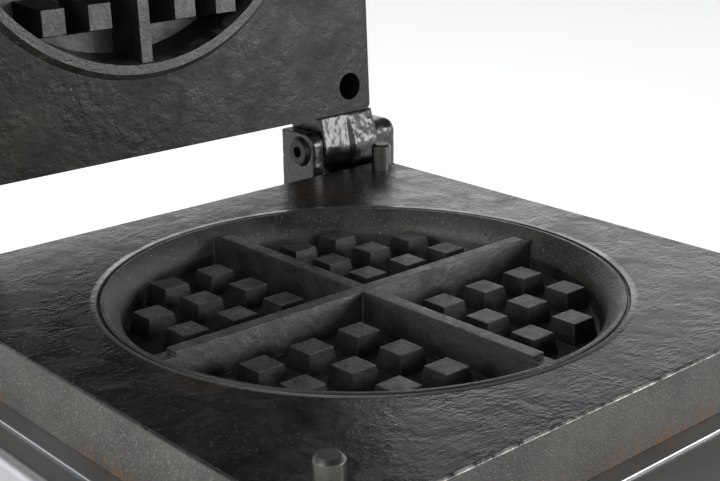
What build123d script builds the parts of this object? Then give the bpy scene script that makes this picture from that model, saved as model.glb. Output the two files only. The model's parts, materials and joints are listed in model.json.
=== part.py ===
"""Round Belgian waffle iron with two square cast-iron plates on a rear hinge.

Frame: origin on the table under the middle of the iron, +X to the right, +Y to the hinge, +Z up.
The lid is drawn open, which is its resting position.  Millimetres.
"""
from build123d import *
from math import cos, radians, sin, tan
import os

os.makedirs("parts", exist_ok=True)

# ---------------------------------------------------------------- driving dimensions
FOOT_HEIGHT = 18.5
SHELL_BOTTOM = 18.0
DECK_TOP = 104.0
SHEET = 1.5
SHELL_HALF_WIDTH = 144.0
SHELL_FRONT = -176.0          # from the plate's centre
SHELL_BACK = 168.0
SHELL_CORNER = 12.0

PLATE_X = 0.0                 # plate centre, so that the open iron stands centred on the origin
PLATE_Y = -2.1
PLATE_SIZE = 250.0
PLATE_HALF = PLATE_SIZE / 2
PLATE_CORNER = 2.5
LOWER_THICKNESS = 23.0
UPPER_THICKNESS = 26.0
TRIM_THICKNESS = 1.0
PLATE_BOTTOM = DECK_TOP + TRIM_THICKNESS
PARTING_Z = PLATE_BOTTOM + LOWER_THICKNESS
PLATE_GAP = 0.5               # between the plates when the lid is down

POST_INSET = 12.5             # locating posts and corner holes, from the plate's edges
POST_RADIUS = 4.5
POST_HEIGHT = 12.5
CORNER_HOLE_RADIUS = 6.5
POST_CHAMFER = 1.2
POST_STEM = 4.0               # threaded end below the frame
POST_END = 88.0               # its lower end
M8_FLATS = 13.0
M8_NUT = 6.5

RING_RADIUS = 94.0            # mouth of the lower mould
THROAT_RADIUS = 89.0          # where its sloped lip ends
THROAT_DEPTH = 5.0
LOWER_FLOOR_RADIUS = 86.5
LOWER_DEPTH = 14.0
UPPER_DEPTH = 18.0
STUD_FIRST = 21.0
STUD_PITCH = 21.5
STUD_TOP = 10.5
DIVIDER_TOP = 5.3
DIVIDER_BASE = 11.0
STUD_TAPER = 9.5              # degrees from upright

HINGE_BACK = 141.0            # hinge axis, from the plate's centre
HINGE_RISE = 8.0              # hinge axis above the parting plane
OPEN_ANGLE = 92.5
HINGE_X = 109.5
KNUCKLE_HALF = 17.0
PIN_RADIUS = 5.0
PIN_CLEARANCE = 0.05
BUSH_RADIUS = 7.0

COVER_HALF = PLATE_HALF + 1.0 + SHEET
COVER_LOW = 10.0              # cover's rim and top, above the parting plane
COVER_TOP = 58.0

PANEL_Z = 62.0                # height of the controls on the front
KNOB_X = 70.0
SWITCH_X = -75.0
LAMP_X = 15.0

# ---------------------------------------------------------------- working planes
AXIS_Y = PLATE_Y + HINGE_BACK
AXIS_Z = PARTING_Z + HINGE_RISE
tilt = radians(OPEN_ANGLE)
lid_up = Vector(0, sin(tilt), cos(tilt))
lid_back = Vector(0, cos(tilt), -sin(tilt))

BASE = Plane((PLATE_X, PLATE_Y, 0))
LOWER = BASE.offset(PARTING_Z)
lid_origin = Vector(PLATE_X, AXIS_Y, AXIS_Z) - lid_back * HINGE_BACK - lid_up * (HINGE_RISE - PLATE_GAP)
LID = Plane(lid_origin, x_dir=(1, 0, 0), z_dir=lid_up)
LID_FACE = Plane(lid_origin, x_dir=(1, 0, 0), z_dir=-lid_up)
HINGE = Plane((PLATE_X, AXIS_Y, AXIS_Z))
LID_HINGE = Plane((PLATE_X, AXIS_Y, AXIS_Z), x_dir=(1, 0, 0), z_dir=lid_up)
PANEL = Plane((PLATE_X, PLATE_Y + SHELL_FRONT, PANEL_Z), x_dir=(1, 0, 0), z_dir=(0, -1, 0))


def at(plane, x=0.0, y=0.0, z=0.0):
    """The same plane moved to a point given in its own coordinates."""
    return Plane(plane.from_local_coords(Vector(x, y, z)), x_dir=plane.x_dir, z_dir=plane.z_dir)


def side(plane, x=0.0):
    """Plane across X at x: its first axis is the plane's Y and its second the plane's Z."""
    return Plane(plane.from_local_coords(Vector(x, 0, 0)), x_dir=plane.y_dir, z_dir=plane.x_dir)


def section(plane):
    """Plane through the axis of a turned shape: first axis the radius, second the plane's Z."""
    return Plane(plane.origin, x_dir=plane.x_dir, z_dir=-plane.y_dir)


def turned(plane, points, mode=Mode.ADD):
    """Revolve an outline of (radius, height) points about the plane's Z axis."""
    with BuildSketch(section(plane)) as outline:
        with BuildLine():
            Polyline(points, close=True)
        make_face()
    revolve(outline.sketch, axis=Axis(plane.origin, plane.z_dir), mode=mode)


def drill(plane, radius, depth):
    """Cut a round hole of this depth, down from the plane."""
    with BuildSketch(plane) as mouth:
        Circle(radius)
    extrude(mouth.sketch, amount=-depth, mode=Mode.SUBTRACT)


def block(plane, width, length, height, mode=Mode.ADD):
    """A box standing on the plane."""
    with BuildSketch(plane) as base:
        Rectangle(width, length)
    extrude(base.sketch, amount=height, mode=mode)


def rod(plane, radius, length, mode=Mode.ADD):
    """A round bar standing on the plane."""
    with BuildSketch(plane) as end:
        Circle(radius)
    extrude(end.sketch, amount=length, mode=mode)


def hexagon(plane, across_flats, height):
    """A six-sided prism standing on the plane."""
    with BuildSketch(plane) as flats:
        RegularPolygon(radius=across_flats / 2, side_count=6, major_radius=False)
    extrude(flats.sketch, amount=height)


def save(builder, name):
    """Label a finished piece and write it."""
    builder.part.label = name
    export_step(builder.part, f"parts/{name}.step")


def square_corners(half_x, half_y=None):
    """The four corners of a rectangle."""
    half_y = half_x if half_y is None else half_y
    return [(i * half_x, j * half_y) for i in (-1, 1) for j in (-1, 1)]


POST_POINTS = square_corners(PLATE_HALF - POST_INSET)

# ---------------------------------------------------------------- waffle mould
DIVIDER_REACH = 90.0


def stud_points():
    """Three by three studs in each quarter, without the outermost corner one."""
    steps = [STUD_FIRST + i * STUD_PITCH for i in range(3)]
    quarter = [(x, y) for x in steps for y in steps if not x == y == steps[-1]]
    return [(i * x, j * y) for x, y in quarter for i in (-1, 1) for j in (-1, 1)]


def mould(face, depth, stud_recess, divider_recess, wall):
    """Sink the round mould into a plate whose parting face is this plane, normal outwards."""
    turned(face, wall, mode=Mode.SUBTRACT)
    stud_height = depth - stud_recess
    stud_base = STUD_TOP + 2 * stud_height * tan(radians(STUD_TAPER))
    with BuildSketch(face.offset(-depth)) as studs:
        with Locations(*stud_points()):
            Rectangle(stud_base, stud_base)
    extrude(studs.sketch, amount=stud_height, taper=STUD_TAPER)
    for across in (face, Plane(face.origin, x_dir=face.y_dir, z_dir=face.z_dir)):
        with BuildSketch(section(across)) as rib:
            with BuildLine():
                Polyline(
                    (-DIVIDER_BASE / 2, -depth),
                    (-DIVIDER_TOP / 2, -divider_recess),
                    (DIVIDER_TOP / 2, -divider_recess),
                    (DIVIDER_BASE / 2, -depth),
                    close=True,
                )
            make_face()
        extrude(rib.sketch, amount=DIVIDER_REACH, both=True)


# ---------------------------------------------------------------- lower plate
CLAMP_SCREW_RADIUS = 3.0
GROOVE_INNER = 95.3
GROOVE_OUTER = 96.7
GROOVE_DEPTH = 1.0
GROOVE_SLOPE = 0.3
PLATE_EDGE_BREAK = 0.8
RELIEF_RADIUS = 85.0          # from here out the dividers are lowered, under the lid's ring
RELIEF_DEPTH = 3.0
LOWER_CLAMP_DEPTH = 6.0       # how far the clamp screws enter the plates
UPPER_CLAMP_DEPTH = 5.0

with BuildPart() as lower_plate:
    with BuildSketch(BASE.offset(PLATE_BOTTOM)):
        RectangleRounded(PLATE_SIZE, PLATE_SIZE, PLATE_CORNER)
    extrude(amount=LOWER_THICKNESS)
    chamfer(lower_plate.faces().sort_by(Axis.Z)[-1].edges(), length=PLATE_EDGE_BREAK)
    mould(
        LOWER,
        LOWER_DEPTH,
        stud_recess=6.0,
        divider_recess=1.5,
        wall=[
            (0, 0),
            (RING_RADIUS, 0),
            (THROAT_RADIUS, -THROAT_DEPTH),
            (LOWER_FLOOR_RADIUS, -LOWER_DEPTH),
            (0, -LOWER_DEPTH),
        ],
    )
    relief = [
        (RELIEF_RADIUS, 0),
        (RING_RADIUS, 0),
        (RING_RADIUS - RELIEF_DEPTH, -RELIEF_DEPTH),
        (RELIEF_RADIUS, -RELIEF_DEPTH),
    ]
    turned(LOWER, relief, mode=Mode.SUBTRACT)
    groove = [
        (GROOVE_INNER, 0),
        (GROOVE_OUTER, 0),
        (GROOVE_OUTER - GROOVE_SLOPE, -GROOVE_DEPTH),
        (GROOVE_INNER + GROOVE_SLOPE, -GROOVE_DEPTH),
    ]
    turned(LOWER, groove, mode=Mode.SUBTRACT)
    for x, y in POST_POINTS:
        drill(at(LOWER, x, y), POST_RADIUS, LOWER_THICKNESS)
    drill(at(LOWER, z=LOWER_CLAMP_DEPTH - LOWER_THICKNESS), CLAMP_SCREW_RADIUS, LOWER_CLAMP_DEPTH)
save(lower_plate, "lower_plate")

# ---------------------------------------------------------------- lid plate
RING_HEIGHT = 2.5
RING_TIP = 86.0
RING_TIP_OUTER = 90.0
RING_BASE = 92.5
RING_ROOT = 1.0               # overlap that joins the ring to the plate
RING_CORE = 80.0              # inside of the ring's blank, cut away by the mould
UPPER_FLOOR_RADIUS = 82.7
ARM_SCREW_X = 9.0
ARM_SCREW_Z = 19.0
ARM_SCREW_RADIUS = 2.5
ARM_SCREW_DEPTH = 8.0
ARM_SCREW_HEAD_RADIUS = 4.0
ARM_SCREW_HEAD = 5.0
COUNTERBORE_RADIUS = 4.3
STANDOFF_THREAD = 3.0
STANDOFF_DEPTH = 10.0
STANDOFF_POINTS = square_corners(99.0)

with BuildPart() as upper_plate:
    with BuildSketch(LID):
        RectangleRounded(PLATE_SIZE, PLATE_SIZE, PLATE_CORNER)
    extrude(amount=UPPER_THICKNESS)
    ring = [
        (RING_CORE, -RING_ROOT),
        (RING_CORE, RING_HEIGHT),
        (RING_TIP_OUTER, RING_HEIGHT),
        (RING_BASE, 0),
        (RING_BASE, -RING_ROOT),
    ]
    turned(LID_FACE, ring)
    mould(
        LID_FACE,
        UPPER_DEPTH,
        stud_recess=0.0,
        divider_recess=0.0,
        wall=[
            (0, RING_HEIGHT),
            (RING_TIP, RING_HEIGHT),
            (UPPER_FLOOR_RADIUS, -UPPER_DEPTH),
            (0, -UPPER_DEPTH),
        ],
    )
    for x, y in POST_POINTS:
        drill(at(LID_FACE, x, y), CORNER_HOLE_RADIUS, UPPER_THICKNESS)
    drill(at(LID, z=UPPER_THICKNESS), CLAMP_SCREW_RADIUS, UPPER_CLAMP_DEPTH)
    for x, y in STANDOFF_POINTS:
        drill(at(LID, x, y, UPPER_THICKNESS), STANDOFF_THREAD, STANDOFF_DEPTH)
    edge_face = Plane(LID.from_local_coords(Vector(0, PLATE_HALF, 0)), x_dir=(1, 0, 0), z_dir=lid_back)
    for centre in (-HINGE_X, HINGE_X):
        for shift in (-ARM_SCREW_X, ARM_SCREW_X):
            drill(at(edge_face, centre + shift, -ARM_SCREW_Z), ARM_SCREW_RADIUS, ARM_SCREW_DEPTH)
save(upper_plate, "upper_plate")

# ---------------------------------------------------------------- housing
DECK_OPENING = 200.0
DECK_OPENING_CORNER = 6.0
DECK_EDGE_RADIUS = 5.0
SHEET_CUT = 3.0               # deep enough to go through any sheet
HINGE_BOLT_RADIUS = 4.0
PAN_SCREW_RADIUS = 2.0
VENT_LENGTH = 30.0
VENT_WIDTH = 4.0
VENT_Z = (62.0, 70.0, 78.0)
GLAND_THREAD = 8.0
SWITCH_WIDTH = 22.0
SWITCH_HEIGHT = 27.0
CONTROL_HOLE = 5.0            # radius for the thermostat's bushing and the lamps
SCREW_Y = (-120.0, 0.0, 120.0)
PAN_SCREW_Z = 26.0
VENT_Y = (-60.0, -20.0, 20.0, 60.0)
GLAND_X = -60.0
GLAND_Z = 48.0
HINGE_BOLT_X = 9.0
shell_length = SHELL_BACK - SHELL_FRONT
shell_middle = (SHELL_BACK + SHELL_FRONT) / 2
GLAND = Plane((PLATE_X + GLAND_X, PLATE_Y + SHELL_BACK, GLAND_Z), x_dir=(-1, 0, 0), z_dir=(0, 1, 0))
LEFT_WALL = Plane((PLATE_X - SHELL_HALF_WIDTH, PLATE_Y, 0), x_dir=(0, -1, 0), z_dir=(-1, 0, 0))
RIGHT_WALL = Plane((PLATE_X + SHELL_HALF_WIDTH, PLATE_Y, 0), x_dir=(0, 1, 0), z_dir=(1, 0, 0))
HINGE_BOLT_POINTS = [(i * HINGE_X + j * HINGE_BOLT_X, HINGE_BACK + 1) for i in (-1, 1) for j in (-1, 1)]

with BuildPart() as base_shell:
    with BuildSketch(at(BASE, 0, shell_middle, SHELL_BOTTOM)):
        RectangleRounded(2 * SHELL_HALF_WIDTH, shell_length, SHELL_CORNER)
    extrude(amount=DECK_TOP - SHELL_BOTTOM)
    fillet(base_shell.faces().sort_by(Axis.Z)[-1].edges(), radius=DECK_EDGE_RADIUS)
    offset(amount=-SHEET, openings=base_shell.faces().sort_by(Axis.Z)[0])
    with BuildSketch(BASE.offset(DECK_TOP)):
        RectangleRounded(DECK_OPENING, DECK_OPENING, DECK_OPENING_CORNER)
        with Locations(*POST_POINTS):
            Circle(POST_RADIUS)
        with Locations(*HINGE_BOLT_POINTS):
            Circle(HINGE_BOLT_RADIUS)
    extrude(amount=-SHEET_CUT, mode=Mode.SUBTRACT)
    for wall in (LEFT_WALL, RIGHT_WALL):
        with BuildSketch(wall) as wall_holes:
            with Locations(*[(y, PAN_SCREW_Z) for y in SCREW_Y]):
                Circle(PAN_SCREW_RADIUS)
            with Locations(*[(y, z) for y in VENT_Y for z in VENT_Z]):
                SlotOverall(VENT_LENGTH, VENT_WIDTH)
        extrude(wall_holes.sketch, amount=-SHEET_CUT, mode=Mode.SUBTRACT)
    drill(GLAND, GLAND_THREAD, SHEET_CUT)
    drill(at(PANEL, KNOB_X), CONTROL_HOLE, SHEET_CUT)
    block(at(PANEL, SWITCH_X), SWITCH_WIDTH, SWITCH_HEIGHT, -SHEET_CUT, mode=Mode.SUBTRACT)
    for x in (-LAMP_X, LAMP_X):
        drill(at(PANEL, x), CONTROL_HOLE, SHEET_CUT)
save(base_shell, "base_shell")

PAN_FLOOR = FOOT_HEIGHT
PAN_SHEET = 1.2
PAN_RIM = 14.0
PAN_SLOT_LENGTH = 50.0
PAN_SLOT_WIDTH = 5.0
FOOT_SCREW_RADIUS = 2.5
pan_half = SHELL_HALF_WIDTH - SHEET
FOOT_POINTS = [(i * 118.0, y) for i in (-1, 1) for y in (-150.0, 142.0)]

with BuildPart() as bottom_pan:
    with BuildSketch(at(BASE, 0, shell_middle, PAN_FLOOR)):
        RectangleRounded(2 * pan_half, shell_length - 2 * SHEET, SHELL_CORNER - SHEET)
    extrude(amount=PAN_RIM)
    offset(amount=-PAN_SHEET, openings=bottom_pan.faces().sort_by(Axis.Z)[-1])
    with BuildSketch(at(BASE, 0, shell_middle, PAN_FLOOR)) as slots:
        with GridLocations(70, 26, 3, 7):
            SlotOverall(PAN_SLOT_LENGTH, PAN_SLOT_WIDTH)
    extrude(slots.sketch, amount=SHEET_CUT, mode=Mode.SUBTRACT)
    for x, y in FOOT_POINTS:
        drill(at(BASE, x, y, PAN_FLOOR + SHEET_CUT), FOOT_SCREW_RADIUS, SHEET_CUT)
    for wall in (LEFT_WALL, RIGHT_WALL):
        for y in SCREW_Y:
            drill(at(wall, y, PAN_SCREW_Z), PAN_SCREW_RADIUS, SHEET_CUT + 1)
save(bottom_pan, "bottom_pan")

with BuildPart() as pan_screws:
    for wall in (LEFT_WALL, RIGHT_WALL):
        for y in SCREW_Y:
            turned(at(wall, y, PAN_SCREW_Z), [(0, -8), (2, -8), (2, 0), (3.6, 0), (3.1, 1.6), (0, 2.2)])
save(pan_screws, "pan_screws")

TRIM_WIDTH = 264.0
TRIM_LENGTH = 259.0
TRIM_SHIFT = -2.5             # its back edge stops short of the hinge brackets
TRIM_CORNER = 5.0
TRIM_EDGE_RADIUS = 0.6
with BuildPart() as plate_trim:
    with BuildSketch(BASE.offset(DECK_TOP)):
        with Locations((0, TRIM_SHIFT)):
            RectangleRounded(TRIM_WIDTH, TRIM_LENGTH, TRIM_CORNER)
        RectangleRounded(DECK_OPENING, DECK_OPENING, DECK_OPENING_CORNER, mode=Mode.SUBTRACT)
        with Locations(*POST_POINTS):
            Circle(POST_RADIUS, mode=Mode.SUBTRACT)
    extrude(amount=TRIM_THICKNESS)
    fillet(plate_trim.faces().sort_by(Axis.Z)[-1].outer_wire().edges(), radius=TRIM_EDGE_RADIUS)
save(plate_trim, "plate_trim")

FRAME_THICKNESS = 4.0
FRAME_OUTER = 262.0
FRAME_INNER = 204.0
frame_top = DECK_TOP - SHEET
with BuildPart() as plate_frame:
    with BuildSketch(BASE.offset(frame_top - FRAME_THICKNESS)):
        Rectangle(FRAME_OUTER, FRAME_OUTER)
        Rectangle(FRAME_INNER, FRAME_INNER, mode=Mode.SUBTRACT)
        with Locations(*POST_POINTS):
            Circle(POST_STEM, mode=Mode.SUBTRACT)
    extrude(amount=FRAME_THICKNESS)
save(plate_frame, "plate_frame")

# ---------------------------------------------------------------- posts that locate the lid
with BuildPart() as locating_posts:
    for x, y in POST_POINTS:
        turned(
            at(LOWER, x, y),
            [
                (0, POST_HEIGHT),
                (POST_RADIUS - POST_CHAMFER, POST_HEIGHT),
                (POST_RADIUS, POST_HEIGHT - POST_CHAMFER),
                (POST_RADIUS, frame_top - PARTING_Z),
                (POST_STEM, frame_top - PARTING_Z),
                (POST_STEM, POST_END - PARTING_Z),
                (0, POST_END - PARTING_Z),
            ],
        )
save(locating_posts, "locating_posts")

with BuildPart() as post_nuts:
    for x, y in POST_POINTS:
        nut_plane = at(BASE, x, y, frame_top - FRAME_THICKNESS - M8_NUT)
        hexagon(nut_plane, M8_FLATS, M8_NUT)
        rod(nut_plane, POST_STEM, M8_NUT, mode=Mode.SUBTRACT)
save(post_nuts, "post_nuts")

# ---------------------------------------------------------------- heating elements
ELEMENT_RADIUS = 4.25
ELEMENT_RING = 72.0
ELEMENT_LEG_X = 12.0
ELEMENT_LEG_END = 92.0
ELEMENT_BEND = 9.0


def heating_element(plane):
    """A keyhole-shaped tubular element centred in this plane, its two cold ends towards +Y."""
    leg_start = (ELEMENT_RING**2 - ELEMENT_LEG_X**2) ** 0.5
    with BuildLine(plane) as path:
        left_leg = Line((-ELEMENT_LEG_X, ELEMENT_LEG_END), (-ELEMENT_LEG_X, leg_start))
        ring = ThreePointArc(left_leg @ 1, (0, -ELEMENT_RING), (ELEMENT_LEG_X, leg_start))
        Line(ring @ 1, (ELEMENT_LEG_X, ELEMENT_LEG_END))
        joints = [v for v in path.vertices() if min((v.center() - ring @ i).length for i in (0, 1)) < 1]
        fillet(joints, radius=ELEMENT_BEND)
    with BuildSketch(Plane(path.line @ 0, z_dir=path.line % 0)) as tube:
        Circle(ELEMENT_RADIUS)
    sweep(tube.sketch, path=path.line)


lower_element_plane = BASE.offset(PLATE_BOTTOM - ELEMENT_RADIUS)
with BuildPart() as lower_element:
    heating_element(lower_element_plane)
save(lower_element, "lower_element")

upper_element_plane = LID.offset(UPPER_THICKNESS + ELEMENT_RADIUS)
with BuildPart() as upper_element:
    heating_element(upper_element_plane)
save(upper_element, "upper_element")

CLAMP_LENGTH = 168.0
CLAMP_WIDTH = 20.0
CLAMP_THICKNESS = 3.0
SLEEVE_RADIUS = 5.5
CLAMP_HEAD_FLATS = 10.0
CLAMP_HEAD = 5.0
clamp_gap = 2 * ELEMENT_RADIUS


def element_clamp(face):
    """A flat bar across the element ring; the plane is the plate's heated face, normal outwards."""
    with BuildSketch(face.offset(clamp_gap)) as bar:
        SlotOverall(CLAMP_LENGTH, CLAMP_WIDTH)
        Circle(CLAMP_SCREW_RADIUS, mode=Mode.SUBTRACT)
    extrude(bar.sketch, amount=CLAMP_THICKNESS)


def clamp_screw(face, depth):
    """The screw that pulls the clamp bar to the plate, with a spacer sleeve's shoulder."""
    bar_top = clamp_gap + CLAMP_THICKNESS
    turned(
        face,
        [
            (0, -depth),
            (CLAMP_SCREW_RADIUS, -depth),
            (CLAMP_SCREW_RADIUS, 0),
            (SLEEVE_RADIUS, 0),
            (SLEEVE_RADIUS, clamp_gap),
            (CLAMP_SCREW_RADIUS, clamp_gap),
            (CLAMP_SCREW_RADIUS, bar_top),
            (0, bar_top),
        ],
    )
    hexagon(face.offset(bar_top), CLAMP_HEAD_FLATS, CLAMP_HEAD)


LOWER_HEATED = Plane((PLATE_X, PLATE_Y, PLATE_BOTTOM), x_dir=(1, 0, 0), z_dir=(0, 0, -1))
UPPER_HEATED = LID.offset(UPPER_THICKNESS)

with BuildPart() as lower_element_clamp:
    element_clamp(LOWER_HEATED)
save(lower_element_clamp, "lower_element_clamp")

with BuildPart() as upper_element_clamp:
    element_clamp(UPPER_HEATED)
save(upper_element_clamp, "upper_element_clamp")

with BuildPart() as lower_clamp_screw:
    clamp_screw(LOWER_HEATED, LOWER_CLAMP_DEPTH)
save(lower_clamp_screw, "lower_clamp_screw")

with BuildPart() as upper_clamp_screw:
    clamp_screw(UPPER_HEATED, UPPER_CLAMP_DEPTH)
save(upper_clamp_screw, "upper_clamp_screw")

SHIELD_FLOOR = 76.0
SHIELD_SIZE = 208.0
SHIELD_CORNER = 8.0
SHIELD_SHEET = 1.0
CAPILLARY_X = 55.0
CAPILLARY_HOLE = 4.0
BULB_Y = 30.0
with BuildPart() as heat_shield:
    with BuildSketch(BASE.offset(SHIELD_FLOOR)):
        RectangleRounded(SHIELD_SIZE, SHIELD_SIZE, SHIELD_CORNER)
    extrude(amount=frame_top - FRAME_THICKNESS - SHIELD_FLOOR)
    offset(amount=-SHIELD_SHEET, openings=heat_shield.faces().sort_by(Axis.Z)[-1])
    drill(at(BASE, CAPILLARY_X, BULB_Y, SHIELD_FLOOR + SHEET_CUT), CAPILLARY_HOLE, SHEET_CUT)
save(heat_shield, "heat_shield")

WOOL_SIZE = 176.0
WOOL_CORNER = 12.0
WOOL_LOW = 44.0
WOOL_THICKNESS = 12.0
with BuildPart() as lid_insulation:
    with BuildSketch(LID.offset(WOOL_LOW)):
        RectangleRounded(WOOL_SIZE, WOOL_SIZE, WOOL_CORNER)
    extrude(amount=WOOL_THICKNESS)
save(lid_insulation, "lid_insulation")

# ---------------------------------------------------------------- hinge
FLANGE_THICKNESS = 6.0
flange_low = DECK_TOP - AXIS_Z
flange_top = flange_low + FLANGE_THICKNESS
CHEEK_FRONT = 10.0            # the cheeks' outline, from the hinge axis
CHEEK_REAR = 13.7
CHEEK_TOP = 9.0
CHEEK_FRONT_RADIUS = 6.0
CHEEK_REAR_RADIUS = 3.0
CHEEK_SOFTENING = 3.5
THIN_CHEEK = 6.5
THICK_CHEEK = 13.5
thin_side = -KNUCKLE_HALF - THIN_CHEEK
thick_side = KNUCKLE_HALF + THICK_CHEEK
BRIDGE_NEAR = 13.0
BRIDGE_FAR = 18.5
BRIDGE_TOP = -6.0
FLANGE_FRONT = 13.0
FLANGE_BACK = 25.0
RING_SEAT_RADIUS = 7.0        # seat in the thick cheek for the pin's retaining ring
RING_SEAT_DEPTH = 4.5


def hinge_bracket(middle):
    """Cast bracket on the deck: two cheeks round the pin, a flange and a bridge that stops the lid."""
    for start, width in ((thin_side, THIN_CHEEK), (KNUCKLE_HALF, THICK_CHEEK)):
        with BuildSketch(side(HINGE, middle + start)) as cheek:
            with Locations(((CHEEK_REAR - CHEEK_FRONT) / 2, (CHEEK_TOP + flange_low) / 2)):
                Rectangle(CHEEK_REAR + CHEEK_FRONT, CHEEK_TOP - flange_low)
            front_corner, rear_corner = cheek.vertices().group_by(Axis.Y)[-1].sort_by(Axis.X)
            fillet(front_corner, radius=CHEEK_FRONT_RADIUS)
            fillet(rear_corner, radius=CHEEK_REAR_RADIUS)
        extrude(cheek.sketch, amount=width)
    flange_middle = middle + (thin_side + thick_side) / 2
    flange_plane = at(HINGE, flange_middle, (FLANGE_BACK - FLANGE_FRONT) / 2, flange_low)
    block(flange_plane, thick_side - thin_side, FLANGE_BACK + FLANGE_FRONT, FLANGE_THICKNESS)
    bridge_plane = at(HINGE, middle, (BRIDGE_NEAR + BRIDGE_FAR) / 2, flange_low)
    block(bridge_plane, 2 * KNUCKLE_HALF, BRIDGE_FAR - BRIDGE_NEAR, BRIDGE_TOP - flange_low)
    with BuildSketch(side(HINGE, middle + thin_side)) as pin_hole:
        Circle(PIN_RADIUS)
    extrude(pin_hole.sketch, amount=thick_side - thin_side, mode=Mode.SUBTRACT)
    with BuildSketch(side(HINGE, middle + thick_side - RING_SEAT_DEPTH)) as ring_seat:
        Circle(RING_SEAT_RADIUS)
    extrude(ring_seat.sketch, amount=RING_SEAT_DEPTH, mode=Mode.SUBTRACT)
    for shift in (-HINGE_BOLT_X, HINGE_BOLT_X):
        drill(at(HINGE, middle + shift, 1, flange_top), HINGE_BOLT_RADIUS, FLANGE_THICKNESS)


def soften_bracket(bracket):
    """Round the outline of the thick cheek's outer face, as the casting has it."""
    outer = bracket.faces().filter_by(Axis.X).sort_by(Axis.X)[-1]
    above_deck = outer.outer_wire().edges().filter_by(lambda e: e.center().Z > AXIS_Z + flange_top + 1)
    fillet(above_deck, radius=CHEEK_SOFTENING)


with BuildPart() as hinge_bracket_right:
    hinge_bracket(HINGE_X)
    soften_bracket(hinge_bracket_right)
save(hinge_bracket_right, "hinge_bracket_right")

with BuildPart() as hinge_bracket_left:
    hinge_bracket(-HINGE_X)
    soften_bracket(hinge_bracket_left)
save(hinge_bracket_left, "hinge_bracket_left")

BAR_THICKNESS = 6.0
BAR_Y = 147.5
BAR_LENGTH = 266.0
BAR_WIDTH = 29.0
BOLT_HEAD = 5.3
BOLT_END = 88.0
with BuildPart() as hinge_bar:
    with BuildSketch(at(BASE, 0, BAR_Y, frame_top - BAR_THICKNESS)):
        Rectangle(BAR_LENGTH, BAR_WIDTH)
        with Locations(*[(x, y - BAR_Y) for x, y in HINGE_BOLT_POINTS]):
            Circle(HINGE_BOLT_RADIUS, mode=Mode.SUBTRACT)
    extrude(amount=BAR_THICKNESS)
save(hinge_bar, "hinge_bar")

with BuildPart() as hinge_bolts:
    for x, y in HINGE_BOLT_POINTS:
        hexagon(at(BASE, x, y, DECK_TOP + FLANGE_THICKNESS), M8_FLATS, BOLT_HEAD)
        rod(at(BASE, x, y, BOLT_END), HINGE_BOLT_RADIUS, DECK_TOP + FLANGE_THICKNESS - BOLT_END)
save(hinge_bolts, "hinge_bolts")

with BuildPart() as hinge_nuts:
    for x, y in HINGE_BOLT_POINTS:
        nut_plane = at(BASE, x, y, frame_top - BAR_THICKNESS - M8_NUT)
        hexagon(nut_plane, M8_FLATS, M8_NUT)
        rod(nut_plane, HINGE_BOLT_RADIUS, M8_NUT, mode=Mode.SUBTRACT)
save(hinge_nuts, "hinge_nuts")

PIN_BORE = 2.6
PIN_HEAD = 2.0
PIN_HEAD_RADIUS = 7.5
PIN_RING_RADIUS = 6.8
PIN_RING_THICKNESS = 1.5
PIN_END = 3.0                 # how far the pin stands past the floor of the ring's seat


def pin_plane(middle):
    """Plane across the hinge axis at the thin cheek's outer face, normal along +X."""
    return Plane((PLATE_X + middle + thin_side, AXIS_Y, AXIS_Z), x_dir=(0, 1, 0), z_dir=(1, 0, 0))


def hinge_pin(middle):
    """Hollow hinge pin with a low domed head; the lid's leads run through its bore."""
    length = thick_side - thin_side - RING_SEAT_DEPTH + PIN_END
    turned(
        pin_plane(middle),
        [
            (PIN_BORE, -PIN_HEAD),
            (PIN_HEAD_RADIUS - 1.5, -PIN_HEAD),
            (PIN_HEAD_RADIUS, 0),
            (PIN_RADIUS, 0),
            (PIN_RADIUS, length),
            (PIN_BORE, length),
        ],
    )


with BuildPart() as hinge_pin_right:
    hinge_pin(HINGE_X)
save(hinge_pin_right, "hinge_pin_right")

with BuildPart() as hinge_pin_left:
    hinge_pin(-HINGE_X)
save(hinge_pin_left, "hinge_pin_left")

with BuildPart() as hinge_pin_rings:
    for middle in (-HINGE_X, HINGE_X):
        ring_plane = pin_plane(middle).offset(thick_side - thin_side - RING_SEAT_DEPTH)
        rod(ring_plane, PIN_RING_RADIUS, PIN_RING_THICKNESS)
        rod(ring_plane, PIN_RADIUS, PIN_RING_THICKNESS, mode=Mode.SUBTRACT)
save(hinge_pin_rings, "hinge_pin_rings")

ARM_END_GAP = 0.5
ARM_HALF = KNUCKLE_HALF - ARM_END_GAP
SMALL_BARREL = 10.5
LARGE_BARREL = 12.0
LUG_THICKNESS = 6.0
LUG_HEIGHT = 22.0
LUG_MIDDLE = 11.5             # above the lid plate's parting face
COUNTERBORE_TOP = 30.0        # clear of the barrels, from the plate's edge
HEEL_HEIGHT = 6.0
HEEL_GAP = 0.3                # between heel and bridge with the lid open
STEP_X = 0.5                  # where the two barrel sizes meet
lug_near = PLATE_HALF - HINGE_BACK
HEEL_NEAR = 9.0
HEEL_FAR = 17.5


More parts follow.
